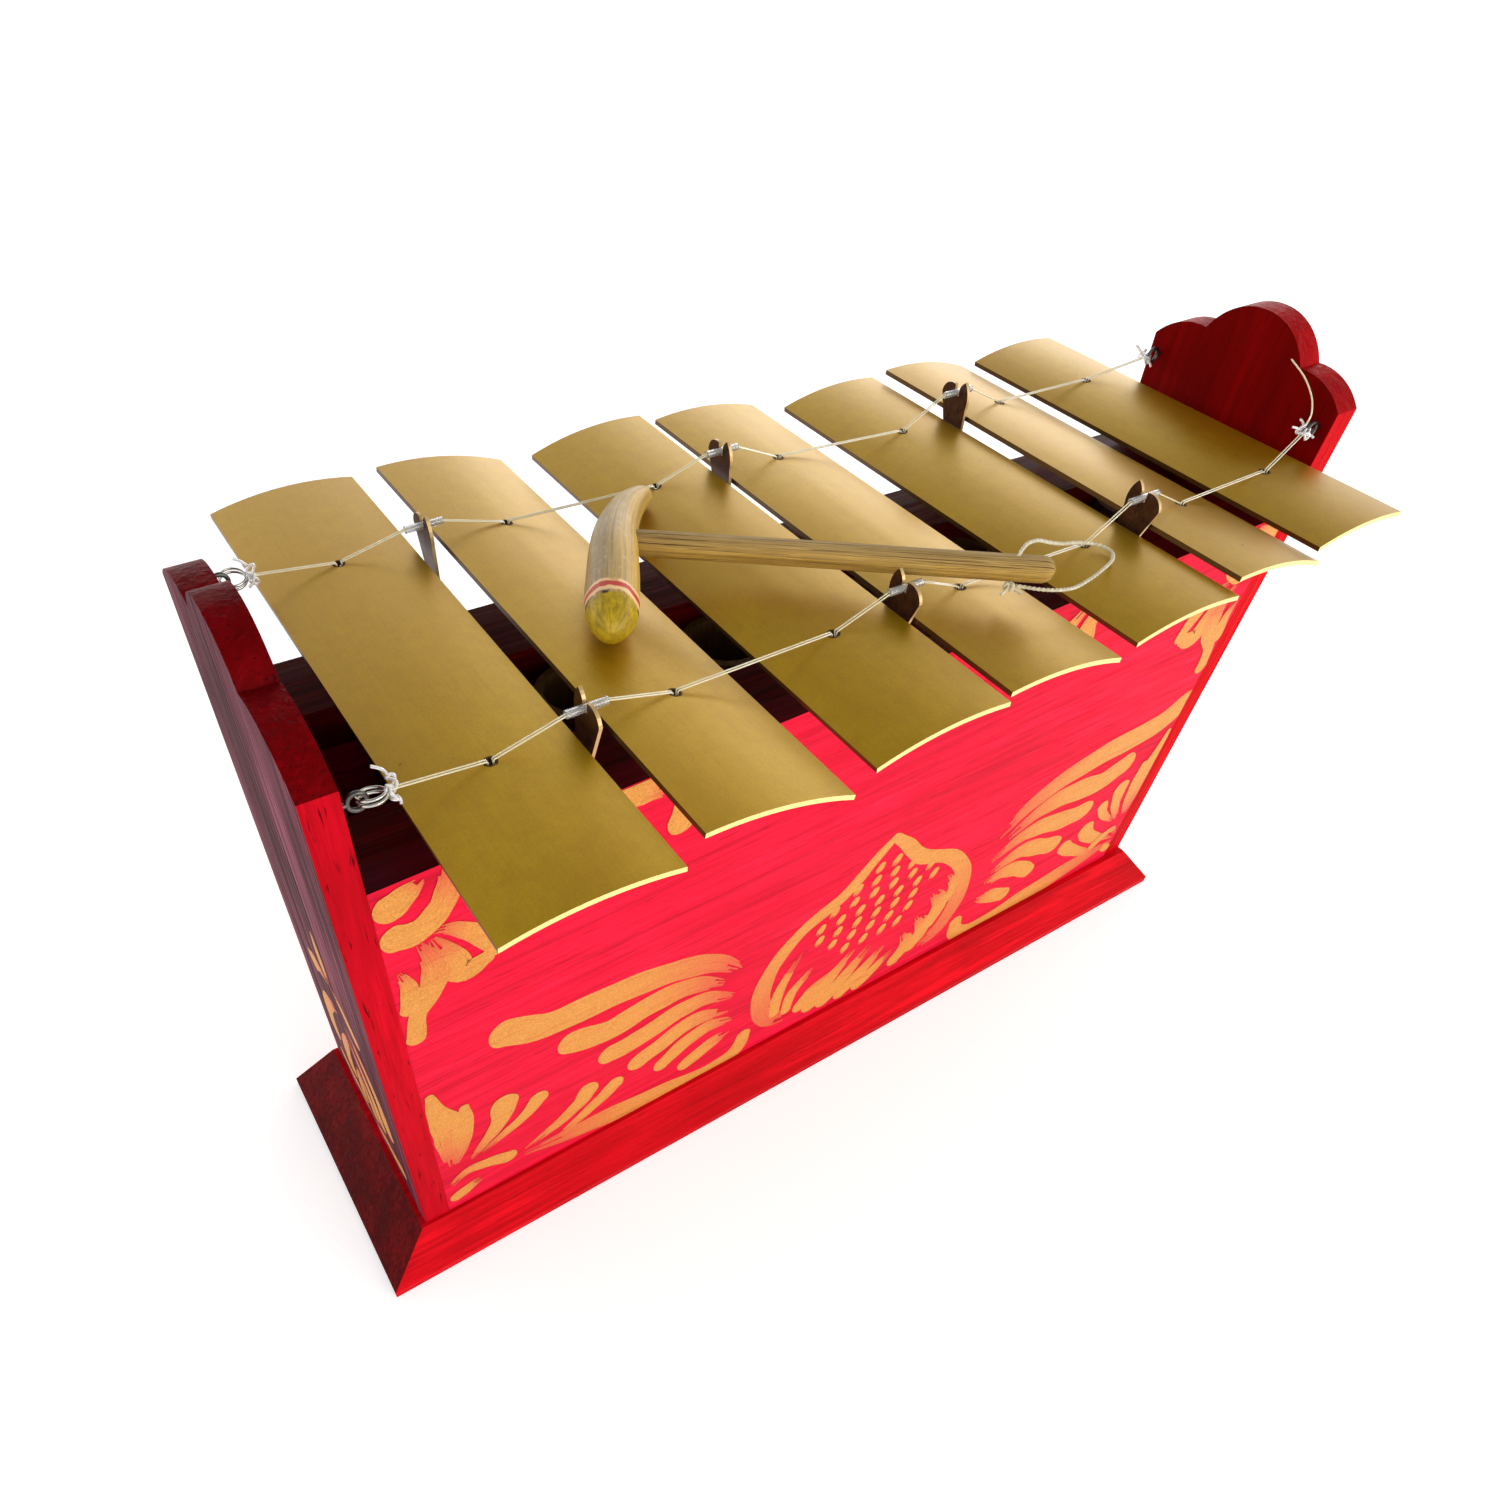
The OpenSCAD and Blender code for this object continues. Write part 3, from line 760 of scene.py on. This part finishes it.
# Each knot's half length, width and depth, its lobes, and the ways of its short cut ends.
KNOTS = {
    (FRONT, LEFT): (4.6, 1.5, 1.2, 3, [[(0, 3.4, 3), (-1.2, 5, 5), (-4.6, 6.6, 6.6)],
                                       [(0, -2, -2), (0.8, -3.4, -3), (0.6, -4.4, -4.4)]]),
    (BACK, LEFT): (3.8, 2.0, 1.2, 2, [[(-0.5, 3, 3), (-2.6, 4.2, 5), (-5, 5, 6.4)],
                                      [(1, -1, 1), (-1, -4, -1), (-3.4, -5.6, -2)]]),
    (FRONT, RIGHT): (3.2, 2.5, 1.6, 2, [[(-1, 2, 1), (-3.4, 3.4, 2), (-5.2, 4, 2.4)],
                                        [(0, 1, 2), (1, 3.4, 3.8), (0, 5, 5)],
                                        [(1, -1, -1), (3.2, -2.4, -1), (4.4, -4, -2)]]),
    (BACK, RIGHT): (3.2, 2.2, 1.5, 2, [[(-1, 1, 1), (-3, 3, 4), (-5, 4, 6)],
                                       [(1, -1, -1), (2.4, -3, -2.6), (3.4, -4, -4.4)]]),
}


def knot_weave(centre, long, wide, deep, lobes, seed):
    """A tied knot: one strand crossing over itself in a row of small loops. long, wide and
    deep are half its size along three directions."""
    rng = random.Random(seed)
    lean = Vector((rng.uniform(-0.2, 0.2), 0.78, 0.62)).normalized()
    across = lean.cross(Vector((1, 0, 0))).normalized()
    points = []
    steps = 120
    for k in range(steps):
        s = 2 * math.pi * k / steps
        points.append(Vector(centre) + lean * long * math.sin(s + 0.3)
                      + Vector((1, 0, 0)) * wide * math.sin(lobes * s)
                      + across * deep * math.sin((lobes + 1) * s + 1))
    return sweep(points, lambda i: circle(KNOT_R, 12), closed=True)


def knot_strand(points, steps):
    return sweep(catmull(points, steps), lambda i: circle(KNOT_R, 12))


def make_knots():
    """Each cord's two ends are tied off in a bulky knot with short cut ends."""
    for (side, end), (long, wide, deep, lobes, tails) in KNOTS.items():
        centre = (KNOT_X[end] + KNOT_SHIFT[end], side * knot_y(end), ANCHOR_Z)
        parts = [knot_weave(centre, long, wide, deep, lobes, 2 * side + end + 5)]
        for tail in tails:
            parts.append(knot_strand([[c + d for c, d in zip(centre, p)] for p in tail], 6))
        # the doubled strand from the knot round the ring or the screw eye
        far = REACH[end]
        reach = [(0, 0, 0), (far / 2, 0.5, 1.1), (far, 0.2, 1.3), (far + 0.5, 0, 0),
                 (far, -0.2, -1.3), (far / 3, -0.4, -0.8)]
        parts.append(knot_strand([[centre[0] + end * a, centre[1] + b, centre[2] + c]
                                  for a, b, c in reach], 5))
        node = f"{SIDES[side]}_{ENDS[end]}_knot"
        piece = add_piece(node + "_tied", join(parts)[:2], MAT["knot"], "frame")
        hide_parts(node)


def make_rings():
    """A split ring is one flattened wire wound twice round, with a step in it halfway."""
    steps = 128
    for side, name in SIDES.items():
        lean = Matrix.Rotation(math.radians(side * 14), 3, "X")
        centre = Vector((RING_X, side * line_y(-INNER_X), ANCHOR_Z))
        path = []
        for k in range(steps + 1):
            t = k / steps
            w = 2 * math.pi * 2 * t
            step = (t - 0.5) * 2.4 + 0.35 * math.tanh((t - 0.5) * 30)
            path.append(centre + lean @ Vector((RING_R * math.cos(w), RING_R * math.sin(w), step)))
        flat = [(RING_WIRE * 0.6 * a, RING_WIRE * 0.8 * b) for a, b in circle(1, 14)]
        axis = lean @ Vector((0, 0, 1))
        piece = add_piece(f"{name}_split_ring", sweep(path, lambda i: flat, up=axis)[:2],
                          MAT["ring"], "frame")
        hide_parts("split_rings")


make_knots()
make_rings()

# ---- Beater ----

HEAD_AXIS = [(-147, -44.5, 359.2), (-145.8, -42.5, 359.3), (-142, -36.5, 359.6),
             (-137, -28, 359.9), (-126, -9.5, 360.2), (-117, 6, 360.2), (-105, 24, 359.2),
             (-90, 42, 356.4), (-77, 55, 352.4), (-69, 61.5, 349.8), (-67, 63, 349.2)]
HEAD_SIZE = [2.5, 5.6, 9.4, 11.3, 11.5, 11, 9.6, 7.8, 6, 4.4, 2]
HANDLE_START = Vector((-111, 19, 358.6))
HANDLE_END = Vector((34, -95, 361.4))
HANDLE_R = 5.7
TWINE_SPOT = Vector((25.2, -88.1, 361.2))  # where the twine goes through the handle


def make_head():
    """Horn-shaped head with a domed striking face and a flat whittled along one side."""
    rows = catmull([list(p) + [r] for p, r in zip(HEAD_AXIS, HEAD_SIZE)], 8)
    path = [row[:3] for row in rows]
    n = 56

    def section(i):
        size = rows[i][3]
        along = i / (len(rows) - 1)
        out = []
        for k in range(n):
            w = 2 * math.pi * k / n
            r = size * (1 + 0.012 * math.sin(3 * w + 9 * along) + 0.008 * math.sin(7 * w - 20 * along))
            if along > 0.30:
                flat = min(1.0, (along - 0.30) * 5)
                r *= 1 - 0.10 * flat * max(0.0, math.cos(w + math.radians(150))) ** 4
            out.append((r * math.cos(w), r * math.sin(w)))
        return out
    head = add_piece("beater_head_carved", sweep(path, section), MAT["head"], "beater")
    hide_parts("beater_head")


def make_handle():
    """Split-bamboo handle, nearly round, with a long whittled flat low on its front side."""
    d = HANDLE_END - HANDLE_START
    length = d.length
    n, rows = 40, 120
    path, sizes = [], []
    for i in range(rows + 1):
        t = i / rows
        run = -1 + (length + HANDLE_R + 1) * t
        path.append(HANDLE_START + d.normalized() * run)
        over = max(0.0, run - length)
        sizes.append(math.sqrt(max(0.02, 1 - (over / HANDLE_R) ** 2)))

    def section(i):
        t = i / rows
        out = []
        for k in range(n):
            w = 2 * math.pi * k / n
            r = HANDLE_R * sizes[i] * (0.985 + 0.012 * math.sin(2 * w + 1) + 0.01 * math.sin(5 * w + 9 * t))
            cut = math.exp(-((t - 0.42) / 0.22) ** 4)
            r = min(r, HANDLE_R * (1 - 0.16 * cut) / max(0.3, math.cos(w + math.radians(28))))
            out.append((r * math.cos(w), r * math.sin(w)))
        return out
    handle = add_piece("beater_handle_split", sweep(path, section), MAT["handle"],
                       "beater")
    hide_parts("beater_handle")


def make_twine_knot():
    """The overhand knot that stops the twine under the handle."""
    centre = TWINE_SPOT + Vector((0, 0, -8.3))
    points = []
    steps = 72
    for k in range(steps):
        t = 2 * math.pi * k / steps
        points.append((centre.x + 1.05 * (math.sin(t) + 0.9 * math.sin(2 * t)),
                       centre.y + 1.05 * (math.cos(t) - 0.9 * math.cos(2 * t)),
                       centre.z - 1.3 * math.sin(3 * t)))
    parts = [sweep(points, lambda i: circle(0.78, 12), closed=True)]
    for tail in ([(0, 0, 0), (-3, -1, -1), (-5, -1, -2.2)], [(0, 0, 0), (2, -2.5, -1.2), (3, -5, -2)]):
        path = catmull([[a + b for a, b in zip(centre, p)] for p in tail], 5)
        parts.append(sweep(path, lambda i: circle(0.7 + 0.05 * (i % 3), 10)))
    knot = add_piece("twine_knot", join(parts), MAT["twine"], "beater")
    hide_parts("beater_knot")


make_head()
make_handle()
make_twine_knot()

# ---- Painted ornament ----

SHIELD_X = 24
RIGHT_CORNER = 0.62  # width of the lower right corner's strokes against the left one's
RIGHT_END = 0.76  # width of the right board's ornament against the left one's
# Each stroke is a list of (x, z, width) on the wall, from its round head to its thin end.
WING = [
    [(-223, 180, 21), (-200, 170, 20), (-165, 168, 20), (-129, 163, 18), (-99, 152, 15), (-77, 133, 6)],
    [(-187, 144, 19), (-165, 138, 19), (-138, 142, 19), (-112, 140, 15), (-88, 127, 6)],
    [(-164, 114, 16), (-146, 115, 17), (-120, 121, 16), (-100, 120, 12), (-80, 109, 5)],
    [(-145, 91, 15), (-129, 97, 15), (-108, 104, 14), (-82, 95, 5)],
    [(-128, 74, 12), (-114, 84, 14), (-97, 89, 12), (-78, 84, 5)],
    [(-110, 60, 12), (-93, 68, 13), (-79, 72, 5)],
    [(-66, 57, 11), (-72, 42, 14), (-94, 36, 16), (-133, 42, 18), (-175, 48, 17), (-222, 55, 4)],
    [(-179, 88, 14), (-184, 80, 12), (-198, 70, 9), (-221, 60, 3)],
    [(-161, 80, 12), (-169, 73, 11), (-186, 62, 8), (-205, 52, 3)],
]
SHIELD = [
    [(0, 186, 6), (-12, 174, 9), (-30, 154, 11), (-58, 139, 11), (-76, 116, 13), (-81, 88, 15),
     (-72, 62, 15), (-56, 54, 11)],
]
LEAVES = [
    [(-67, 64, 8), (-66, 88, 9), (-54, 117, 4)],
    [(-57, 60, 8), (-55, 77, 9), (-40, 95, 4)],
    [(-45, 56, 12), (-37, 67, 12), (-22, 77, 5)],
    [(-36, 50, 13), (-26, 66, 14), (-8, 90, 5)],
    [(-24, 47, 13), (-11, 62, 14), (6, 85, 5)],
    [(-9, 45, 12), (5, 58, 13), (20, 76, 5)],
    [(6, 44, 11), (17, 53, 11), (30, 65, 4)],
    [(36, 51, 12), (43, 63, 13), (37, 78, 6)],
    [(49, 58, 12), (55, 73, 14), (45, 90, 6)],
    [(60, 74, 12), (64, 92, 14), (54, 108, 7)],
    [(70, 92, 7), (71, 106, 8), (62, 120, 4)],
]
DASH_ROWS = [(163, (-6, 7)), (152, (-20, -6, 8, 22)), (141, (-35, -20, -5, 10, 25, 40)),
             (130, (-43, -28, -13, 2, 17, 32, 46)), (119, (-42, -28, -13, 2, 17, 32)),
             (108, (-30, -15, 0, 15, 31)), (97, (-18, -3, 12, 25))]
LOW_CORNER = [
    [(-268, 158, 5), (-266, 140, 12), (-261, 120, 21), (-262, 102, 17), (-264, 84, 7)],
    [(-252, 134, 6), (-254, 118, 12), (-258, 98, 10), (-263, 84, 4)],
    [(-230, 118, 17), (-234, 104, 12), (-243, 92, 8), (-254, 81, 3)],
    [(-210, 107, 12), (-219, 97, 9), (-231, 90, 7), (-247, 82, 3)],
    [(-232, 62, 11), (-246, 68, 9), (-258, 70, 7), (-268, 63, 4)],
    [(-266, 48, 9), (-259, 51, 9), (-250, 55, 4)],
]
TOP_CORNER = [
    [(-265, 297, 15), (-258, 301, 12), (-250, 306, 4)],
    [(-265, 279, 15), (-256, 278, 14), (-246, 285, 13), (-240, 296, 12), (-238, 307, 10)],
    [(-229, 243, 9), (-240, 241, 14), (-245, 254, 14), (-251, 270, 4)],
    [(-224, 246, 8), (-229, 258, 11), (-240, 270, 8), (-250, 274, 3)],
    [(-267, 210, 10), (-264, 225, 9), (-256, 238, 13), (-252, 252, 13), (-257, 270, 4)],
    [(-267, 232, 9), (-265, 246, 8), (-268, 258, 3)],
]
TOP_MIDDLE = [
    [(-128, 275, 15), (-126, 288, 13), (-130, 303, 5)],
    [(-156, 303, 14), (-146, 302, 13), (-136, 300, 10)],
    [(-100, 283, 12), (-108, 290, 11), (-120, 303, 4)],
]


def ribbon(stroke, to_world, rng, lift):
    """One brush stroke as bristle strips side by side, so that its far end is ragged."""
    rows = catmull(stroke, 7)
    strips = 7
    run = [0.0]
    for a, b in zip(rows, rows[1:]):
        run.append(run[-1] + math.hypot(b[0] - a[0], b[1] - a[1]))
    centre = []
    for i, (x, z, w) in enumerate(rows):
        a, b = rows[max(i - 1, 0)], rows[min(i + 1, len(rows) - 1)]
        size = math.hypot(b[0] - a[0], b[1] - a[1])
        centre.append((x, z, w / 2, (b[0] - a[0]) / size, (b[1] - a[1]) / size))
    x, z, r, dx, dz = centre[0]
    head = [(x - dx * r * math.sin(q), z - dz * r * math.sin(q), r * math.cos(q), dx, dz, 0.0)
            for q in [math.pi / 2 * (1 - k / 7) for k in range(7)]]
    body = [(*c, s) for c, s in zip(centre, run)]
    line = head + body
    verts, faces, uvs, tails = [], [], [], []
    for s in range(strips):
        stop = len(line) - rng.choice((0, 0, 1, 2, 3, 4))
        lo, hi = (2 * s / strips - 1), (2 * (s + 1) / strips - 1)
        wave = rng.uniform(0, 6)
        first = len(verts)
        for i in range(max(stop, 9)):
            x, z, r, dx, dz, at = line[i]
            r *= 1 + 0.035 * math.sin(0.9 * i + wave) * (abs(lo + hi) > 1.2)
            for e in (lo, hi):
                verts.append(to_world(x - dz * r * e, z + dx * r * e, lift))
                uvs.append((at * MM + stroke[0][0], e * r * 0.1 + stroke[0][1]))
                tails.append((at / run[-1], 0.0))
        count = (len(verts) - first) // 2
        faces += [[first + 2 * i, first + 2 * i + 1, first + 2 * i + 3, first + 2 * i + 2]
                  for i in range(count - 1)]
    return verts, faces, uvs, tails


def paint(name, strokes, to_world, seed):
    """Lays the strokes on a surface as one thin piece."""
    rng = random.Random(seed)
    verts, faces, uvs, tails = [], [], [], []
    for k, stroke in enumerate(strokes):
        lift = 0.08 + 0.003 * k  # each stroke lies on the ones before
        v, f, u, t = ribbon(stroke, to_world, rng, lift)
        faces += [[i + len(verts) for i in face] for face in f]
        verts += v
        uvs += u
        tails += t
    piece = add_piece(name, (verts, faces, uvs), MAT["gold"], "frame")
    layer = piece.data.uv_layers.new(name="Tail")
    for loop in piece.data.loops:
        layer.data[loop.index].uv = tails[loop.vertex_index]


def mirrored(strokes, middle=0.0, squeeze=1.0):
    """The strokes on the other side of a line; squeeze narrows them towards the wall's end."""
    out = []
    for stroke in strokes:
        moved = [(2 * middle - x, z, w) for x, z, w in stroke]
        out.append([(INNER_X - (INNER_X - x) * squeeze, z, w * (0.5 + squeeze / 2))
                    for x, z, w in moved])
    return out


def dashes():
    """Rows of short dabs inside the shield."""
    out = []
    for z, xs in DASH_ROWS:
        for x in xs:
            out.append([(x + 1.2, z + 2.6, 5.2), (x, z, 6), (x - 1.8, z - 4, 3)])
    return out


def shift(strokes, by):
    return [[(x + by, z, w) for x, z, w in stroke] for stroke in strokes]


def wall_strokes():
    """The shield stands a little right of the wall's middle, between its wings."""
    shield = shift(SHIELD + mirrored(SHIELD) + LEAVES + dashes(), SHIELD_X)
    strokes = WING + mirrored(WING, SHIELD_X) + shield
    strokes += LOW_CORNER + mirrored(LOW_CORNER, 0, RIGHT_CORNER) + TOP_CORNER + mirrored(TOP_CORNER)
    return strokes + TOP_MIDDLE + mirrored(TOP_MIDDLE)


def on_wall(side):
    """Puts a point on a long wall's outer face, which leans out and runs in to the right."""
    lean = math.hypot(1, math.hypot(TILT, TAPER))

    def to_world(x, z, lift):
        x, z = max(-INNER_X + 0.2, min(INNER_X - 0.2, x)), max(BASE_Z + 0.4, min(WALL_TOP - 0.5, z))
        y = FOOT_MID - x * TAPER + (z - BASE_Z) * TILT + lift * lean
        return (x, side * y, z)
    return to_world


# On an end board the strokes' x runs across it.
END_MOTIF = [
    [(-40, 96, 17), (-38, 118, 15), (-24, 138, 12), (-6, 150, 5)],
    [(-22, 78, 15), (-20, 98, 13), (-10, 118, 10), (-1, 132, 4)],
    [(-8, 66, 11), (-6, 84, 10), (-1, 104, 4)],
    [(-46, 60, 12), (-34, 56, 12), (-16, 54, 10), (0, 46, 4)],
    [(-30, 168, 13), (-18, 176, 11), (-2, 178, 4)],
]


def on_end(end):
    width = RIGHT_END if end == RIGHT else 1

    def to_world(x, z, lift):
        return (end * (END_X + lift), x * width, z)
    return to_world


def make_ornament():
    for side, name in SIDES.items():
        paint(f"{name}_wall_ornament", wall_strokes(), on_wall(side), 41 + side)
    tip = [[(0, 216, 5), (0, 196, 12), (0, 178, 4)]]
    for end, name in ENDS.items():
        paint(f"{name}_end_ornament", END_MOTIF + mirrored(END_MOTIF) + tip, on_end(end), 60 + end)


make_ornament()

# ---- Carried-over parts ----


def smooth_by_angle():
    """A modifier's node group that shades a mesh smooth except at edges over 30 degrees."""
    group = bpy.data.node_groups.new("smooth_by_angle", "GeometryNodeTree")
    for way in ("INPUT", "OUTPUT"):
        group.interface.new_socket("Geometry", in_out=way, socket_type="NodeSocketGeometry")
    made = {name: group.nodes.new(kind) for name, kind in (
        ("in", "NodeGroupInput"), ("out", "NodeGroupOutput"), ("faces", "GeometryNodeSetShadeSmooth"),
        ("edges", "GeometryNodeSetShadeSmooth"), ("angle", "GeometryNodeInputMeshEdgeAngle"),
        ("sharp", "FunctionNodeCompare"))}
    made["sharp"].operation = "GREATER_THAN"
    made["sharp"].inputs[1].default_value = math.radians(30)
    made["edges"].domain = "EDGE"
    made["edges"].inputs["Shade Smooth"].default_value = False
    link = group.links.new
    link(made["in"].outputs[0], made["faces"].inputs["Geometry"])
    link(made["faces"].outputs[0], made["edges"].inputs["Geometry"])
    link(made["angle"].outputs[0], made["sharp"].inputs[0])
    link(made["sharp"].outputs[0], made["edges"].inputs["Selection"])
    link(made["edges"].outputs[0], made["out"].inputs[0])
    return group


SMOOTH = smooth_by_angle()


def dress(names, material, bevel=0.0, segments=2):
    """Gives CAD parts their material and, where they are cut or sawn, a small round edge."""
    for name in names:
        obj = NODES[name]
        obj.data.materials.clear()
        obj.data.materials.append(material)
        if bevel:
            mod = obj.modifiers.new("soft_edge", "BEVEL")
            mod.width = bevel * MM
            mod.segments = segments
            mod.limit_method = "ANGLE"
            mod.angle_limit = math.radians(40)
        obj.modifiers.new("smooth", "NODES").node_group = SMOOTH


dress(["front_wall", "back_wall"], MAT["wall"], 0.5)
dress(["left_end_board"], MAT["left_board"], 1.0, 3)
dress(["right_end_board"], MAT["right_board"], 1.0, 3)
dress(["base_board"], MAT["base"], 1.0, 3)
dress(["front_rail", "back_rail"], MAT["rail"], 0.8)
dress([f"resonator_{i + 1}" for i in KEYS], MAT["bamboo"], 0.6)
dress([f"key_{i + 1}" for i in KEYS], MAT["brass"], 0.35)
dress([f"key_{i + 1}_pegs" for i in KEYS], MAT["bamboo"])
dress([f"{s}_post_{j}" for s in SIDES.values() for j in (1, 2, 3)], MAT["post"], 0.25)
dress([f"{s}_sleeves" for s in SIDES.values()], MAT["tube"])
dress(["screw_eyes"], MAT["eye"])
dress(["base_screws"], MAT["screw"], 0.3)

# ---- Floor, world and lights ----

HORIZON_UP, HORIZON_LEVEL = 0.34, 1.55
CEILING_UP, CEILING_LEVEL = 0.70, 0.34
FLOOR_GLOW = 0.45


def make_floor():
    mesh = bpy.data.meshes.new("floor")
    mesh.from_pydata([(-6, -6, 0), (6, -6, 0), (6, 6, 0), (-6, 6, 0)], [], [(0, 1, 2, 3)])
    mesh.materials.append(floor_paper())
    floor = bpy.data.objects.new("floor", mesh)
    bpy.context.scene.collection.objects.link(floor)


def make_world():
    """White studio: brightest near the horizon, with a dark ceiling."""
    world = bpy.data.worlds.new("studio")
    bpy.context.scene.world = world
    world.use_nodes = True
    tree = world.node_tree
    tree.nodes.clear()
    up = put(tree, "SeparateXYZ", {0: put(tree, "TexCoord").outputs["Generated"]}).outputs[2]
    level = spread(tree, up, HORIZON_UP, CEILING_UP, HORIZON_LEVEL, CEILING_LEVEL)
    back = put(tree, "Background", {"Color": (1, 1, 1, 1), "Strength": level})
    out = tree.nodes.new("ShaderNodeOutputWorld")
    tree.links.new(back.outputs[0], out.inputs[0])


def make_light(name, place_at, aim, size, watts):
    data = bpy.data.lights.new(name, "AREA")
    data.shape = "RECTANGLE"
    data.size, data.size_y = size
    data.energy = watts
    light = bpy.data.objects.new(name, data)
    light.location = place_at
    light.rotation_euler = (Vector(aim) - Vector(place_at)).to_track_quat("-Z", "Y").to_euler()
    bpy.context.scene.collection.objects.link(light)


make_floor()
make_world()
make_light("front_softbox", (0.7, -1.7, 0.7), (0, 0, 0.2), (1.6, 0.9), 14)
make_light("back_softbox", (1.5, 1.5, 0.75), (0, 0, 0.3), (1.6, 0.7), 5)
bpy.context.scene.view_settings.view_transform = "Standard"
